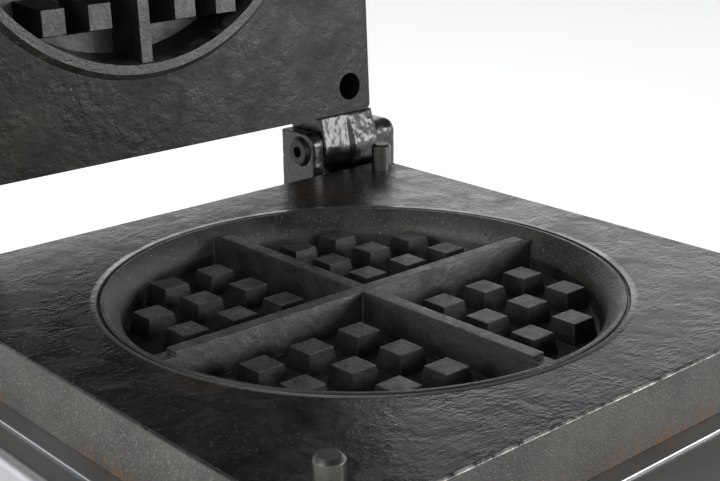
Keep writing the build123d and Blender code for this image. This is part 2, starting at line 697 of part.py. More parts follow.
def hinge_arm(middle):
    """Cast arm from the lid plate's back edge to the barrels, with a heel that meets the bridge."""
    for start, end, barrel in ((-ARM_HALF, STEP_X, SMALL_BARREL), (STEP_X, ARM_HALF, LARGE_BARREL)):
        with BuildSketch(side(LID_HINGE, middle + start)) as half:
            Circle(barrel)
            with Locations((lug_near + LUG_THICKNESS / 2, LUG_MIDDLE - HINGE_RISE)):
                Rectangle(LUG_THICKNESS, LUG_HEIGHT)
            make_hull()
        extrude(half.sketch, amount=end - start)
    with BuildSketch(side(HINGE, middle - ARM_HALF)) as heel:
        with Locations(((HEEL_NEAR + HEEL_FAR) / 2, BRIDGE_TOP + HEEL_GAP + HEEL_HEIGHT / 2)):
            Rectangle(HEEL_FAR - HEEL_NEAR, HEEL_HEIGHT)
    extrude(heel.sketch, amount=2 * ARM_HALF)
    with BuildSketch(side(LID_HINGE, middle - ARM_HALF)) as barrel_bore:
        Circle(BUSH_RADIUS)
    extrude(barrel_bore.sketch, amount=2 * ARM_HALF, mode=Mode.SUBTRACT)
    for shift in (-ARM_SCREW_X, ARM_SCREW_X):
        mouth = arm_screw_plane(middle + shift)
        drill(mouth.offset(LUG_THICKNESS), ARM_SCREW_RADIUS, LUG_THICKNESS)
        drill(mouth.offset(COUNTERBORE_TOP), COUNTERBORE_RADIUS, COUNTERBORE_TOP - LUG_THICKNESS)


def arm_screw_plane(x):
    """Plane on the lid plate's back edge where an arm screw enters, normal away from the plate."""
    return at(edge_face, x, -ARM_SCREW_Z)


with BuildPart() as hinge_arm_right:
    hinge_arm(HINGE_X)
save(hinge_arm_right, "hinge_arm_right")

with BuildPart() as hinge_arm_left:
    hinge_arm(-HINGE_X)
save(hinge_arm_left, "hinge_arm_left")

with BuildPart() as hinge_arm_screws:
    for middle in (-HINGE_X, HINGE_X):
        for shift in (-ARM_SCREW_X, ARM_SCREW_X):
            screw = arm_screw_plane(middle + shift)
            rod(screw.offset(-ARM_SCREW_DEPTH), ARM_SCREW_RADIUS, ARM_SCREW_DEPTH + LUG_THICKNESS)
            rod(screw.offset(LUG_THICKNESS), ARM_SCREW_HEAD_RADIUS, ARM_SCREW_HEAD)
            with BuildSketch(screw.offset(LUG_THICKNESS + ARM_SCREW_HEAD)) as socket:
                RegularPolygon(radius=2, side_count=6, major_radius=False)
            extrude(socket.sketch, amount=-3, mode=Mode.SUBTRACT)
save(hinge_arm_screws, "hinge_arm_screws")

with BuildPart() as hinge_bushes:
    for middle in (-HINGE_X, HINGE_X):
        bush_plane = pin_plane(middle).offset(THIN_CHEEK + ARM_END_GAP)
        rod(bush_plane, BUSH_RADIUS, 2 * ARM_HALF)
        rod(bush_plane, PIN_RADIUS + PIN_CLEARANCE, 2 * ARM_HALF, mode=Mode.SUBTRACT)
save(hinge_bushes, "hinge_bushes")

# ---------------------------------------------------------------- lid cover and handle
HANDLE_X = 62.0
HANDLE_OUT = 50.0             # handle's axis, from the cover's front wall
HANDLE_Z = 36.0
COVER_CORNER = 5.0
COVER_EDGE_RADIUS = 9.0
ARM_NOTCH_HEIGHT = 15.0
ROD_RADIUS = 4.0
COVER_FRONT = Plane(LID.from_local_coords(Vector(0, -COVER_HALF, 0)), x_dir=(1, 0, 0), z_dir=-lid_back)
BRACKET_SCREW_SPACING = 10.0
BRACKET_SCREW_RADIUS = 2.5
BRACKET_SCREW_POINTS = [
    (i * HANDLE_X + j * BRACKET_SCREW_SPACING, HANDLE_Z) for i in (-1, 1) for j in (-1, 1)
]

with BuildPart() as lid_cover:
    with BuildSketch(LID.offset(COVER_LOW)):
        RectangleRounded(2 * COVER_HALF, 2 * COVER_HALF, COVER_CORNER)
    extrude(amount=COVER_TOP - COVER_LOW)
    fillet(lid_cover.faces().sort_by(Axis(LID.origin, LID.z_dir))[-1].edges(), radius=COVER_EDGE_RADIUS)
    offset(amount=-SHEET, openings=lid_cover.faces().sort_by(Axis(LID.origin, LID.z_dir))[0])
    for middle in (-HINGE_X, HINGE_X):
        notch = at(LID, middle, COVER_HALF, COVER_LOW)
        block(notch, 2 * KNUCKLE_HALF + 1, 8, ARM_NOTCH_HEIGHT, mode=Mode.SUBTRACT)
    for x, y in STANDOFF_POINTS:
        drill(at(LID, x, y, COVER_TOP), STANDOFF_THREAD, SHEET_CUT)
    for x, z in BRACKET_SCREW_POINTS:
        drill(at(COVER_FRONT, x, z), BRACKET_SCREW_RADIUS, SHEET_CUT)
save(lid_cover, "lid_cover")

STANDOFF_FLATS = 10.0
COVER_SCREW_LENGTH = 12.0
COVER_SCREW_HEAD = 3.5
with BuildPart() as cover_standoffs:
    for x, y in STANDOFF_POINTS:
        standoff = at(LID, x, y, UPPER_THICKNESS)
        hexagon(standoff, STANDOFF_FLATS, COVER_TOP - SHEET - UPPER_THICKNESS)
        rod(standoff.offset(-STANDOFF_DEPTH), STANDOFF_THREAD, STANDOFF_DEPTH)
        drill(at(LID, x, y, COVER_TOP - SHEET), STANDOFF_THREAD, COVER_SCREW_LENGTH)
save(cover_standoffs, "cover_standoffs")

with BuildPart() as cover_screws:
    for x, y in STANDOFF_POINTS:
        screw_profile = [
            (0, -COVER_SCREW_LENGTH),
            (STANDOFF_THREAD, -COVER_SCREW_LENGTH),
            (STANDOFF_THREAD, 0),
            (5.5, 0),
            (4.8, 2.2),
            (3, 3.2),
            (0, COVER_SCREW_HEAD),
        ]
        turned(at(LID, x, y, COVER_TOP), screw_profile)
        with BuildSketch(at(LID, x, y, COVER_TOP + COVER_SCREW_HEAD)) as cross:
            Rectangle(5.5, 1.1)
            Rectangle(1.1, 5.5)
        extrude(cross.sketch, amount=-1.6, mode=Mode.SUBTRACT)
save(cover_screws, "cover_screws")

BRACKET_THICKNESS = 5.0
BRACKET_FOOT = 4.0
BRACKET_EYE = 11.0


def handle_bracket(middle):
    """A foot plate on the cover's front wall and a tapered arm that carries the rod's end."""
    with BuildSketch(at(COVER_FRONT, middle, HANDLE_Z)) as foot_plate:
        RectangleRounded(31, 26, 4)
    extrude(foot_plate.sketch, amount=BRACKET_FOOT)
    arm_corner = at(COVER_FRONT, middle - BRACKET_THICKNESS / 2, HANDLE_Z).origin
    with BuildSketch(Plane(arm_corner, x_dir=-lid_back, z_dir=(1, 0, 0))) as arm:
        with Locations((HANDLE_OUT, 0)):
            Circle(BRACKET_EYE)
        with Locations((BRACKET_FOOT / 2, 0)):
            Rectangle(BRACKET_FOOT, 24)
        make_hull()
        with Locations((HANDLE_OUT, 0)):
            Circle(ROD_RADIUS, mode=Mode.SUBTRACT)
    extrude(arm.sketch, amount=BRACKET_THICKNESS)


with BuildPart() as handle_brackets:
    for middle in (-HANDLE_X, HANDLE_X):
        handle_bracket(middle)
    for x, z in BRACKET_SCREW_POINTS:
        drill(at(COVER_FRONT, x, z, BRACKET_FOOT), BRACKET_SCREW_RADIUS, BRACKET_FOOT)
save(handle_brackets, "handle_brackets")

with BuildPart() as handle_bracket_screws:
    for x, z in BRACKET_SCREW_POINTS:
        screw_profile = [
            (0, -10),
            (BRACKET_SCREW_RADIUS, -10),
            (BRACKET_SCREW_RADIUS, 0),
            (4.5, 0),
            (4, 2),
            (2.5, 2.8),
            (0, 3),
        ]
        turned(at(COVER_FRONT, x, z, BRACKET_FOOT), screw_profile)
save(handle_bracket_screws, "handle_bracket_screws")

handle_axis = COVER_FRONT.from_local_coords(Vector(0, HANDLE_Z, HANDLE_OUT))
HANDLE = Plane(handle_axis, x_dir=(0, 1, 0), z_dir=(1, 0, 0))
HANDLE_NUT = 7.0
GRIP_RADIUS = 14.0
GRIP_END_GAP = 0.5
rod_half = HANDLE_X + BRACKET_THICKNESS / 2 + HANDLE_NUT
grip_half = HANDLE_X - BRACKET_THICKNESS / 2 - GRIP_END_GAP

with BuildPart() as handle_rod:
    rod(HANDLE.offset(-rod_half), ROD_RADIUS, 2 * rod_half)
save(handle_rod, "handle_rod")

with BuildPart() as handle_grip:
    turned(
        HANDLE,
        [
            (ROD_RADIUS, -grip_half),
            (GRIP_RADIUS - 3, -grip_half),
            (GRIP_RADIUS - 1, -grip_half + 4),
            (GRIP_RADIUS, -grip_half / 2),
            (GRIP_RADIUS, grip_half / 2),
            (GRIP_RADIUS - 1, grip_half - 4),
            (GRIP_RADIUS - 3, grip_half),
            (ROD_RADIUS, grip_half),
        ],
    )
    fillet(handle_grip.edges().filter_by(GeomType.CIRCLE).filter_by(lambda e: e.radius > 12), radius=2)
save(handle_grip, "handle_grip")

with BuildPart() as handle_nuts:
    for end_plane in (HANDLE, Plane(HANDLE.origin, x_dir=(0, 1, 0), z_dir=(-1, 0, 0))):
        nut_plane = end_plane.offset(HANDLE_X + BRACKET_THICKNESS / 2)
        hexagon(nut_plane, M8_FLATS, HANDLE_NUT)
        turned(nut_plane, [(0, HANDLE_NUT), (6.2, HANDLE_NUT), (5, 10), (3, 11.5), (0, 12)])
        rod(nut_plane, ROD_RADIUS, HANDLE_NUT, mode=Mode.SUBTRACT)
save(handle_nuts, "handle_nuts")

# ---------------------------------------------------------------- thermostat and its knob
SHAFT_RADIUS = 3.0
BUSHING_RADIUS = 5.0
BUSHING_OUT = 6.0
BODY_DEPTH = 26.0
BODY_WIDTH = 34.0
BODY_HEIGHT = 40.0
SHAFT_OUT = 20.0
PANEL_NUT = 2.5
PANEL_NUT_FLATS = 14.0
SET_SCREW_Z = 14.0
SET_SCREW_RADIUS = 2.0
SHAFT_IN = 14.0
KNOB = at(PANEL, KNOB_X)
KNOB_RADIUS = 21.0
KNOB_GAP = 1.5
KNOB_DEPTH = 24.0

with BuildPart() as thermostat_body:
    block(at(KNOB, z=-SHEET - BODY_DEPTH), BODY_WIDTH, BODY_HEIGHT, BODY_DEPTH)
    fillet(thermostat_body.edges().filter_by(Axis.Y), radius=3)
    rod(at(KNOB, z=-SHEET), BUSHING_RADIUS, SHEET + BUSHING_OUT)
    drill(at(KNOB, z=BUSHING_OUT), SHAFT_RADIUS + PIN_CLEARANCE, BUSHING_OUT + SHAFT_IN + 1)
save(thermostat_body, "thermostat_body")

with BuildPart() as thermostat_nut:
    hexagon(KNOB, PANEL_NUT_FLATS, PANEL_NUT)
    rod(KNOB, BUSHING_RADIUS, PANEL_NUT, mode=Mode.SUBTRACT)
save(thermostat_nut, "thermostat_nut")

with BuildPart() as thermostat_shaft:
    rod(KNOB.offset(-SHAFT_IN), SHAFT_RADIUS, SHAFT_IN + SHAFT_OUT)
save(thermostat_shaft, "thermostat_shaft")

with BuildPart() as thermostat_knob:
    turned(
        KNOB,
        [
            (0, KNOB_GAP),
            (KNOB_RADIUS, KNOB_GAP),
            (KNOB_RADIUS, KNOB_GAP + 3),
            (KNOB_RADIUS - 3, KNOB_GAP + 5),
            (KNOB_RADIUS - 4.5, KNOB_DEPTH - 1.5),
            (KNOB_RADIUS - 6, KNOB_DEPTH),
            (0, KNOB_DEPTH),
        ],
    )
    drill(at(KNOB, z=8), 9, 8)
    drill(at(KNOB, z=SHAFT_OUT), SHAFT_RADIUS, 12)
    with BuildSketch(KNOB.offset(KNOB_DEPTH)) as pointer:
        with Locations((0, 9.5)):
            SlotOverall(11, 2.4, rotation=90)
    extrude(pointer.sketch, amount=1.2)
    screw_hole = Plane(KNOB.from_local_coords(Vector(0, 24, SET_SCREW_Z)))
    drill(screw_hole, SET_SCREW_RADIUS, 24 - SHAFT_RADIUS)
save(thermostat_knob, "thermostat_knob")

with BuildPart() as knob_set_screw:
    screw_end = KNOB.from_local_coords(Vector(0, SHAFT_RADIUS, SET_SCREW_Z))
    rod(Plane(screw_end), SET_SCREW_RADIUS, 8)
save(knob_set_screw, "knob_set_screw")

BULB_RADIUS = 3.0
CAPILLARY_RADIUS = 1.0
bulb_z = PLATE_BOTTOM - BULB_RADIUS
BULB_HALF = 35.0
BEND_RADIUS = 8.0
bulb_end = BASE.from_local_coords(Vector(BULB_HALF, BULB_Y, bulb_z))
bend_top = BASE.from_local_coords(Vector(CAPILLARY_X, BULB_Y, bulb_z))
capillary_end = KNOB.from_local_coords(Vector(0, -4, -SHEET - BODY_DEPTH))
bend_bottom = Vector(bend_top.X, bend_top.Y, capillary_end.Z)
turn_forward = Vector(capillary_end.X, PLATE_Y, capillary_end.Z)
with BuildPart() as thermostat_bulb:
    rod(Plane(bulb_end, x_dir=(0, 1, 0), z_dir=(-1, 0, 0)), BULB_RADIUS, 2 * BULB_HALF)
    with BuildLine() as capillary:
        FilletPolyline(bulb_end, bend_top, bend_bottom, turn_forward, capillary_end, radius=BEND_RADIUS)
    with BuildSketch(Plane(capillary.line @ 0, z_dir=capillary.line % 0)) as capillary_section:
        Circle(CAPILLARY_RADIUS)
    sweep(capillary_section.sketch, path=capillary.line)
save(thermostat_bulb, "thermostat_bulb")

# ---------------------------------------------------------------- rocker switch
SWITCH = at(PANEL, SWITCH_X)
BEZEL = 2.0
HOUSING_DEPTH = 20.0
WELL_DEPTH = 15.0
PIVOT_DEPTH = 2.0             # pivot behind the panel's face
ROCKER_HALF = 9.0
ROCKER_TILT = 8.0             # the off end stands out; pressing it in turns the iron on
ROCKER_RADIUS = 11.3
rocker_in = (-ROCKER_RADIUS, 0)
PIVOT = at(SWITCH, z=-PIVOT_DEPTH)

with BuildPart() as switch_housing:
    block(SWITCH, 26, 31, BEZEL)
    chamfer(switch_housing.faces().sort_by(Axis.Y)[0].edges(), length=0.8)
    block(SWITCH.offset(-HOUSING_DEPTH), SWITCH_WIDTH, SWITCH_HEIGHT, HOUSING_DEPTH)
    block(SWITCH.offset(-WELL_DEPTH), 2 * ROCKER_HALF + 0.8, 24.6, WELL_DEPTH + BEZEL, mode=Mode.SUBTRACT)
    for y in (-8, 0, 8):
        block(at(SWITCH, 0, y, -30), 6.3, 0.8, 10)
save(switch_housing, "switch_housing")

rocker_out = (0, -cos(radians(ROCKER_TILT)), sin(radians(ROCKER_TILT)))
rocker_side = Plane(PIVOT.origin - Vector(ROCKER_HALF, 0, 0), x_dir=rocker_out, z_dir=(-1, 0, 0))
with BuildPart() as switch_rocker:
    with BuildSketch(rocker_side):
        with BuildLine():
            Polyline((0, ROCKER_RADIUS), (7, 11), (5, 0), (7, -11), (0, -ROCKER_RADIUS))
            ThreePointArc((0, -ROCKER_RADIUS), rocker_in, (0, ROCKER_RADIUS))
        make_face()
    extrude(amount=-2 * ROCKER_HALF)
save(switch_rocker, "switch_rocker")

# ---------------------------------------------------------------- pilot lamps
LAMP_POINTS = (-LAMP_X, LAMP_X)
LENS_RADIUS = 3.6
LAMP_RIM = 2.5
with BuildPart() as lamp_bezels:
    for x in LAMP_POINTS:
        turned(
            at(PANEL, x),
            [
                (LENS_RADIUS, -16),
                (CONTROL_HOLE, -16),
                (CONTROL_HOLE, 0),
                (7.5, 0),
                (7.5, 1.5),
                (6.3, LAMP_RIM),
                (LENS_RADIUS, LAMP_RIM),
            ],
        )
save(lamp_bezels, "lamp_bezels")


def lamp_lens(x):
    """Domed lens that fills a lamp's bezel."""
    dome = [(LENS_RADIUS, LAMP_RIM), (5, LAMP_RIM), (4.4, 4.2), (2.6, 5.3), (0, 5.7)]
    turned(at(PANEL, x), [(0, -8), (LENS_RADIUS, -8), *dome])


with BuildPart() as power_lamp_lens:
    lamp_lens(-LAMP_X)
save(power_lamp_lens, "power_lamp_lens")

with BuildPart() as heat_lamp_lens:
    lamp_lens(LAMP_X)
save(heat_lamp_lens, "heat_lamp_lens")

# ---------------------------------------------------------------- mains inlet
TERMINALS = at(BASE, 10, 120, PAN_FLOOR + PAN_SHEET)
TERMINAL_LENGTH = 54.0
TERMINAL_WIDTH = 22.0
TERMINAL_HEIGHT = 16.0
with BuildPart() as terminal_block:
    block(TERMINALS, TERMINAL_LENGTH, TERMINAL_WIDTH, TERMINAL_HEIGHT)
    for x in (-17, 0, 17):
        for y in (-5.5, 5.5):
            drill(at(TERMINALS, x, y, TERMINAL_HEIGHT), 3, 6)
        wire_entry = at(TERMINALS, x, TERMINAL_WIDTH / 2, 5).origin
        drill(Plane(wire_entry, x_dir=(1, 0, 0), z_dir=(0, 1, 0)), 2, TERMINAL_WIDTH)
save(terminal_block, "terminal_block")

GLAND_BORE = 4.5
GLAND_IN = 14.0
GLAND_OUT = 19.0
GLAND_FLATS = 22.0
LOCKNUT = 5.0
with BuildPart() as cord_gland:
    hexagon(GLAND, GLAND_FLATS, 7)
    gland_profile = [
        (0, -GLAND_IN),
        (GLAND_THREAD, -GLAND_IN),
        (GLAND_THREAD, 0),
        (9.5, 0),
        (9.5, GLAND_IN),
        (8.2, GLAND_OUT),
        (0, GLAND_OUT),
    ]
    turned(GLAND, gland_profile)
    drill(GLAND.offset(GLAND_OUT), GLAND_BORE, GLAND_IN + GLAND_OUT)
save(cord_gland, "cord_gland")

with BuildPart() as gland_locknut:
    locknut_plane = GLAND.offset(-SHEET - LOCKNUT)
    hexagon(locknut_plane, GLAND_FLATS, LOCKNUT)
    rod(locknut_plane, GLAND_THREAD, LOCKNUT, mode=Mode.SUBTRACT)
save(gland_locknut, "gland_locknut")

# ---------------------------------------------------------------- feet
SCREW_SEAT = 8.0
with BuildPart() as rubber_feet:
    for x, y in FOOT_POINTS:
        foot = at(BASE, x, y)
        turned(
            foot,
            [
                (7.5, 0),
                (14, 0),
                (14.5, 0.8),
                (17, FOOT_HEIGHT),
                (FOOT_SCREW_RADIUS, FOOT_HEIGHT),
                (FOOT_SCREW_RADIUS, SCREW_SEAT),
                (7.5, SCREW_SEAT),
            ],
        )
save(rubber_feet, "rubber_feet")

foot_screw_profile = [
    (0, 4.5),
    (4, 4.8),
    (5.5, 6),
    (5.5, SCREW_SEAT),
    (FOOT_SCREW_RADIUS, SCREW_SEAT),
    (FOOT_SCREW_RADIUS, 27),
    (0, 27),
]
with BuildPart() as foot_screws:
    for x, y in FOOT_POINTS:
        turned(at(BASE, x, y), foot_screw_profile)
save(foot_screws, "foot_screws")
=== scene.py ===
"""Looks of the round waffle iron: finished castings, sheet metal, controls, materials, lights and camera.

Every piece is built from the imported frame, in metres, and rides on one of its bodies.
"""
import json
from math import cos, pi, radians, sin

import bmesh
import bpy
from mathutils import Matrix, Vector, noise


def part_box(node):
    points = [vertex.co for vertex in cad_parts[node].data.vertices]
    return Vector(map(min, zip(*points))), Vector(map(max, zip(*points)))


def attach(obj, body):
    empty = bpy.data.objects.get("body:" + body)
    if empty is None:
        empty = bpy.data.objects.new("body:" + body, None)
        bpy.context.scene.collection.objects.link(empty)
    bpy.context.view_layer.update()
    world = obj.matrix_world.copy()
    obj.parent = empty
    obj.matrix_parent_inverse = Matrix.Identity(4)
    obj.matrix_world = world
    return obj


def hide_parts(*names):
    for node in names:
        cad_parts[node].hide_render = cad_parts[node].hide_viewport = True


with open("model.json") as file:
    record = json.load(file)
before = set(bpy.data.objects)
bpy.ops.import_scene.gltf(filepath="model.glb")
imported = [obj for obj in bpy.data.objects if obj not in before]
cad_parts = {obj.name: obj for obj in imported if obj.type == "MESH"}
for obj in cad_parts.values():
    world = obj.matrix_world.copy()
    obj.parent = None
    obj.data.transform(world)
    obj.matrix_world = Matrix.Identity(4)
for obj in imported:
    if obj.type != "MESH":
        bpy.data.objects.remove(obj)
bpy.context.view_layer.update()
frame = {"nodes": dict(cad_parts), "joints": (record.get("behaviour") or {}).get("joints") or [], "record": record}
nodes = frame["nodes"]
scene = bpy.context.scene
MM = 0.001
UP = Vector((0, 0, 1))

# ---------------------------------------------------------------- places read from the frame
plate_low, plate_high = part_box("lower_plate")
PLATE = Vector(((plate_low.x + plate_high.x) / 2, (plate_low.y + plate_high.y) / 2, plate_high.z))
PLATE_HALF = (plate_high.x - plate_low.x) / 2
PLATE_FOOT = plate_low.z
lid_joint = next(j for j in frame["joints"] if j["name"] == "lid_hinge")
HINGE = Vector(lid_joint["pos_m"])
OPEN_ANGLE = radians(lid_joint["range_deg"][1])
LID_UP = Vector((0, sin(OPEN_ANGLE), cos(OPEN_ANGLE)))
LID_BACK = Vector((0, cos(OPEN_ANGLE), -sin(OPEN_ANGLE)))
HINGE_BACK = HINGE.y - PLATE.y
PLATE_GAP = 0.5 * MM
LID = HINGE - LID_BACK * HINGE_BACK - LID_UP * (HINGE.z - PLATE.z - PLATE_GAP)
RING_MOUTH = 94 * MM                    # radius of the ring's mouth
GROOVE_INNER = 95.2 * MM                # where the groove round it starts
RING_BAND_OUTER = 98 * MM               # and where the plate's plain block starts
FACE_HIGHLIGHT_INNER = 96.8 * MM              # the lower face is lightened by a painted highlight up to here
FACE_HIGHLIGHT_OUTER = 99.0 * MM              # and not at all from here on
CORNER_HOLE = PLATE_HALF - 12.5 * MM    # corner holes and posts, from the plate's middle lines


# ---------------------------------------------------------------- material helpers
class Shader:
    """A new material and short ways to add nodes to it."""

    def __init__(self, name, **constants):
        self.material = bpy.data.materials.new(name)
        self.material.use_nodes = True
        self.tree = self.material.node_tree
        self.surface = self.tree.nodes["Principled BSDF"]
        self.place = self.add("ShaderNodeTexCoord").outputs["Object"]
        for socket, value in constants.items():
            self.surface.inputs[socket.replace("_", " ")].default_value = value

    def add(self, kind, **settings):
        """A new node of this kind with these settings."""
        node = self.tree.nodes.new(kind)
        for key, value in settings.items():
            setattr(node, key, value)
        return node

    def link(self, source, target):
        """Feed a socket from another socket, or set it to a plain value."""
        if isinstance(source, (int, float, tuple)):
            target.default_value = source
        else:
            self.tree.links.new(source, target)

    def stretched(self, x, y, z):
        """The object's own coordinates scaled differently along each axis."""
        mapping = self.add("ShaderNodeMapping")
        mapping.inputs["Scale"].default_value = (x, y, z)
        self.link(self.place, mapping.inputs["Vector"])
        return mapping.outputs["Vector"]

    def noise(self, scale, detail=4.0, roughness=0.55, vector=None, distortion=0.0):
        """Fractal noise over the object's own coordinates, or over another vector."""
        node = self.add("ShaderNodeTexNoise")
        node.inputs["Scale"].default_value = scale
        node.inputs["Detail"].default_value = detail
        node.inputs["Roughness"].default_value = roughness
        node.inputs["Distortion"].default_value = distortion
        self.link(self.place if vector is None else vector, node.inputs["Vector"])
        return node.outputs["Fac"]

    def cells(self, scale):
        """Distance to the nearest of many scattered points."""
        node = self.add("ShaderNodeTexVoronoi")
        node.inputs["Scale"].default_value = scale
        self.link(self.place, node.inputs["Vector"])
        return node.outputs["Distance"]

    def ramp(self, source, *stops):
        """Map a number through (position, value) stops, each value a number or a colour."""
        node = self.add("ShaderNodeValToRGB")
        elements = node.color_ramp.elements
        while len(elements) < len(stops):
            elements.new(0.5)
        for element, (position, value) in zip(elements, stops):
            element.position = position
            colour = (value,) * 3 if isinstance(value, (int, float)) else value
            element.color = (*colour, 1)
        self.link(source, node.inputs["Fac"])
        return node.outputs["Color"]

    def mix(self, factor, first, second):
        """The first colour going over into the second as the factor rises."""
        node = self.add("ShaderNodeMix", data_type="RGBA")
        inputs = [s for s in node.inputs if s.type == "RGBA"]
        for value, socket in ((first, inputs[0]), (second, inputs[1])):
            self.link((*value, 1) if isinstance(value, tuple) else value, socket)
        self.link(factor, node.inputs["Factor"])
        return next(s for s in node.outputs if s.type == "RGBA")

    def math(self, operation, first, second):
        """One arithmetic step on two numbers."""
        node = self.add("ShaderNodeMath", operation=operation)
        self.link(first, node.inputs[0])
        self.link(second, node.inputs[1])
        return node.outputs[0]

    def height(self):
        """Height above the origin, in the object's own frame."""
        split = self.add("ShaderNodeSeparateXYZ")
        self.link(self.place, split.inputs[0])
        return split.outputs["Z"]

    def radius_from(self, centre):
        """Distance from an upright axis through the centre."""
        flat = self.add("ShaderNodeMapping")
        flat.inputs["Location"].default_value = (-centre.x, -centre.y, 0)
        flat.inputs["Scale"].default_value = (1, 1, 0)
        self.link(self.place, flat.inputs["Vector"])
        length = self.add("ShaderNodeVectorMath", operation="LENGTH")
        self.link(flat.outputs["Vector"], length.inputs[0])
        return length.outputs["Value"]

    def bump(self, *layers):
        """Stack (height, strength, distance) layers of bump on the surface."""
        normal = None
        for height, strength, distance in layers:
            node = self.add("ShaderNodeBump")
            node.inputs["Strength"].default_value = strength
            node.inputs["Distance"].default_value = distance
            self.link(height, node.inputs["Height"])
            if normal is not None:
                self.link(normal, node.inputs["Normal"])
            normal = node.outputs["Normal"]
        self.link(normal, self.surface.inputs["Normal"])

    def colour(self, source):
        self.link(source, self.surface.inputs["Base Color"])

    def roughness(self, source):
        self.link(source, self.surface.inputs["Roughness"])


# ---------------------------------------------------------------- cast iron
RAMP_PER_METRE = 10      # a ramp runs from 0 to 1, so a radius is fed to it in decimetres
RUST_FULL = 1 * MM       # up to this height above the plate's foot the rust is at its strongest
RUST_END = 8 * MM        # and it is gone here


def seasoned_face(name, dark, light, stain, gloss, shine, lumps, groove_centre=None):
    """A parting face: a skin of baked oil in waves, pits and small specks over dark iron.

    With groove_centre, a painted highlight lightens the face where it rounds over into the groove there.
    """
    shader = Shader(name, Specular_IOR_Level=shine)
    patches = shader.noise(17, detail=6, roughness=0.62)
    base = shader.ramp(patches, (0.36, dark), (0.68, light))
    stained = shader.mix(shader.ramp(shader.noise(11, detail=4), (0.54, 0.0), (0.68, 0.7)), base, stain)
    specks = shader.ramp(shader.noise(800, detail=3, roughness=0.7), (0.62, 0.0), (0.70, 0.7))
    clusters = shader.ramp(shader.noise(26, detail=3), (0.42, 0.0), (0.62, 1.0))
    finish = shader.mix(shader.math("MULTIPLY", specks, clusters), stained, (0.15, 0.14, 0.12))
    relief = [
        (shader.noise(70, detail=4, roughness=0.6, distortion=0.5), 0.5, 0.8 * MM),
        (shader.noise(190, detail=3, roughness=0.55), 0.8, lumps),
        (shader.noise(1, detail=4, roughness=0.65, vector=shader.stretched(300, 640, 460)), 0.6, 0.28 * MM),
    ]
    if groove_centre is not None:
        radius = shader.math("MULTIPLY", shader.radius_from(groove_centre), RAMP_PER_METRE)
        inner_stop = (FACE_HIGHLIGHT_INNER * RAMP_PER_METRE, 1.0)
        outer_stop = (FACE_HIGHLIGHT_OUTER * RAMP_PER_METRE, 0.0)
        lip = shader.ramp(radius, inner_stop, outer_stop)
        # painted highlight where the face rounds over into the groove; the same mask also bumps the rounding
        finish = shader.mix(shader.math("MULTIPLY", lip, 0.7), finish, (0.13, 0.132, 0.14))
        relief.append((lip, 0.8, 0.8 * MM))
    pits = shader.ramp(shader.cells(330), (0.0, 0.0), (0.14, 1.0))
    relief.append((pits, 0.25, 0.15 * MM))
    shader.colour(finish)
    smears = shader.noise(46, detail=6, roughness=0.68, distortion=0.8)
    shader.roughness(shader.ramp(smears, (0.38, gloss), (0.64, gloss + 0.22)))
    shader.bump(*relief)
    return shader.material


def cast_side(name, rust):
    """A plate's rough sides: bare sand-cast grain, paler than the face, with painted glints on the grain and rust
    near its foot.
    """
    shader = Shader(name, Specular_IOR_Level=0.4)
    grain = shader.noise(1700, detail=4, roughness=0.75)
    cloud = shader.noise(30, detail=4, roughness=0.6)
    base = shader.ramp(cloud, (0.3, (0.040, 0.039, 0.035)), (0.72, (0.092, 0.087, 0.077)))
    # painted glints: pale grains that stand in for light catching the sand-cast surface
    grain_with_painted_glints = shader.mix(shader.ramp(grain, (0.55, 0.0), (0.68, 0.8)), base, (0.42, 0.40, 0.35))
    upright = shader.noise(1, detail=4, roughness=0.65, vector=shader.stretched(620, 620, 60))
    patches = shader.ramp(shader.noise(13, detail=3), (0.50, 0.0), (0.62, 1.0))
    streaks = shader.math("MULTIPLY", shader.ramp(upright, (0.46, 0.0), (0.60, 1.0)), patches)
    near_foot = shader.add("ShaderNodeMapRange", interpolation_type="SMOOTHSTEP")
    near_foot.inputs["From Min"].default_value = PLATE_FOOT + RUST_END
    near_foot.inputs["From Max"].default_value = PLATE_FOOT + RUST_FULL
    shader.link(shader.height(), near_foot.inputs["Value"])
    rusty = shader.math("MULTIPLY", shader.math("MULTIPLY", near_foot.outputs[0], streaks), rust)
    shader.colour(shader.mix(rusty, grain_with_painted_glints, (0.17, 0.078, 0.022)))
    shader.roughness(shader.ramp(grain, (0.35, 0.40), (0.7, 0.62)))
    shader.bump((grain, 0.6, 0.35 * MM), (shader.noise(260, detail=4, roughness=0.6), 0.5, 0.4 * MM))
    return shader.material


def worn_edge():
    """Bare metal along the plates' edges, broken up where seasoning still covers it."""
    shader = Shader("worn_edge", Metallic=0.6)
    wear = shader.ramp(shader.noise(160, detail=5, roughness=0.7), (0.4, 0.0), (0.62, 1.0))
    shader.colour(shader.mix(wear, (0.02, 0.019, 0.018), (0.30, 0.29, 0.27)))
    shader.roughness(shader.ramp(shader.noise(420, detail=3), (0.3, 0.3), (0.7, 0.5)))
    shader.bump((shader.noise(900, detail=3), 0.4, 0.15 * MM))
    return shader.material


def ring_band():
    """The machined lip round the mould, dark and mottled, with painted glints speckled over it."""
    shader = Shader("ring_band", Specular_IOR_Level=0.5)
    cloud = shader.noise(45, detail=5, roughness=0.65)
    base = shader.ramp(cloud, (0.32, (0.010, 0.009, 0.008)), (0.7, (0.040, 0.036, 0.030)))
    # painted glints: pale specks that stand in for light catching the lip's grain
    painted_glints = shader.ramp(shader.noise(900, detail=3, roughness=0.7), (0.6, 0.0), (0.7, 0.8))
    shader.colour(shader.mix(painted_glints, base, (0.20, 0.19, 0.16)))
    shader.roughness(shader.ramp(shader.noise(90, detail=4), (0.3, 0.24), (0.7, 0.5)))
    shader.bump((shader.noise(520, detail=4, roughness=0.7), 0.8, 0.4 * MM))
    return shader.material


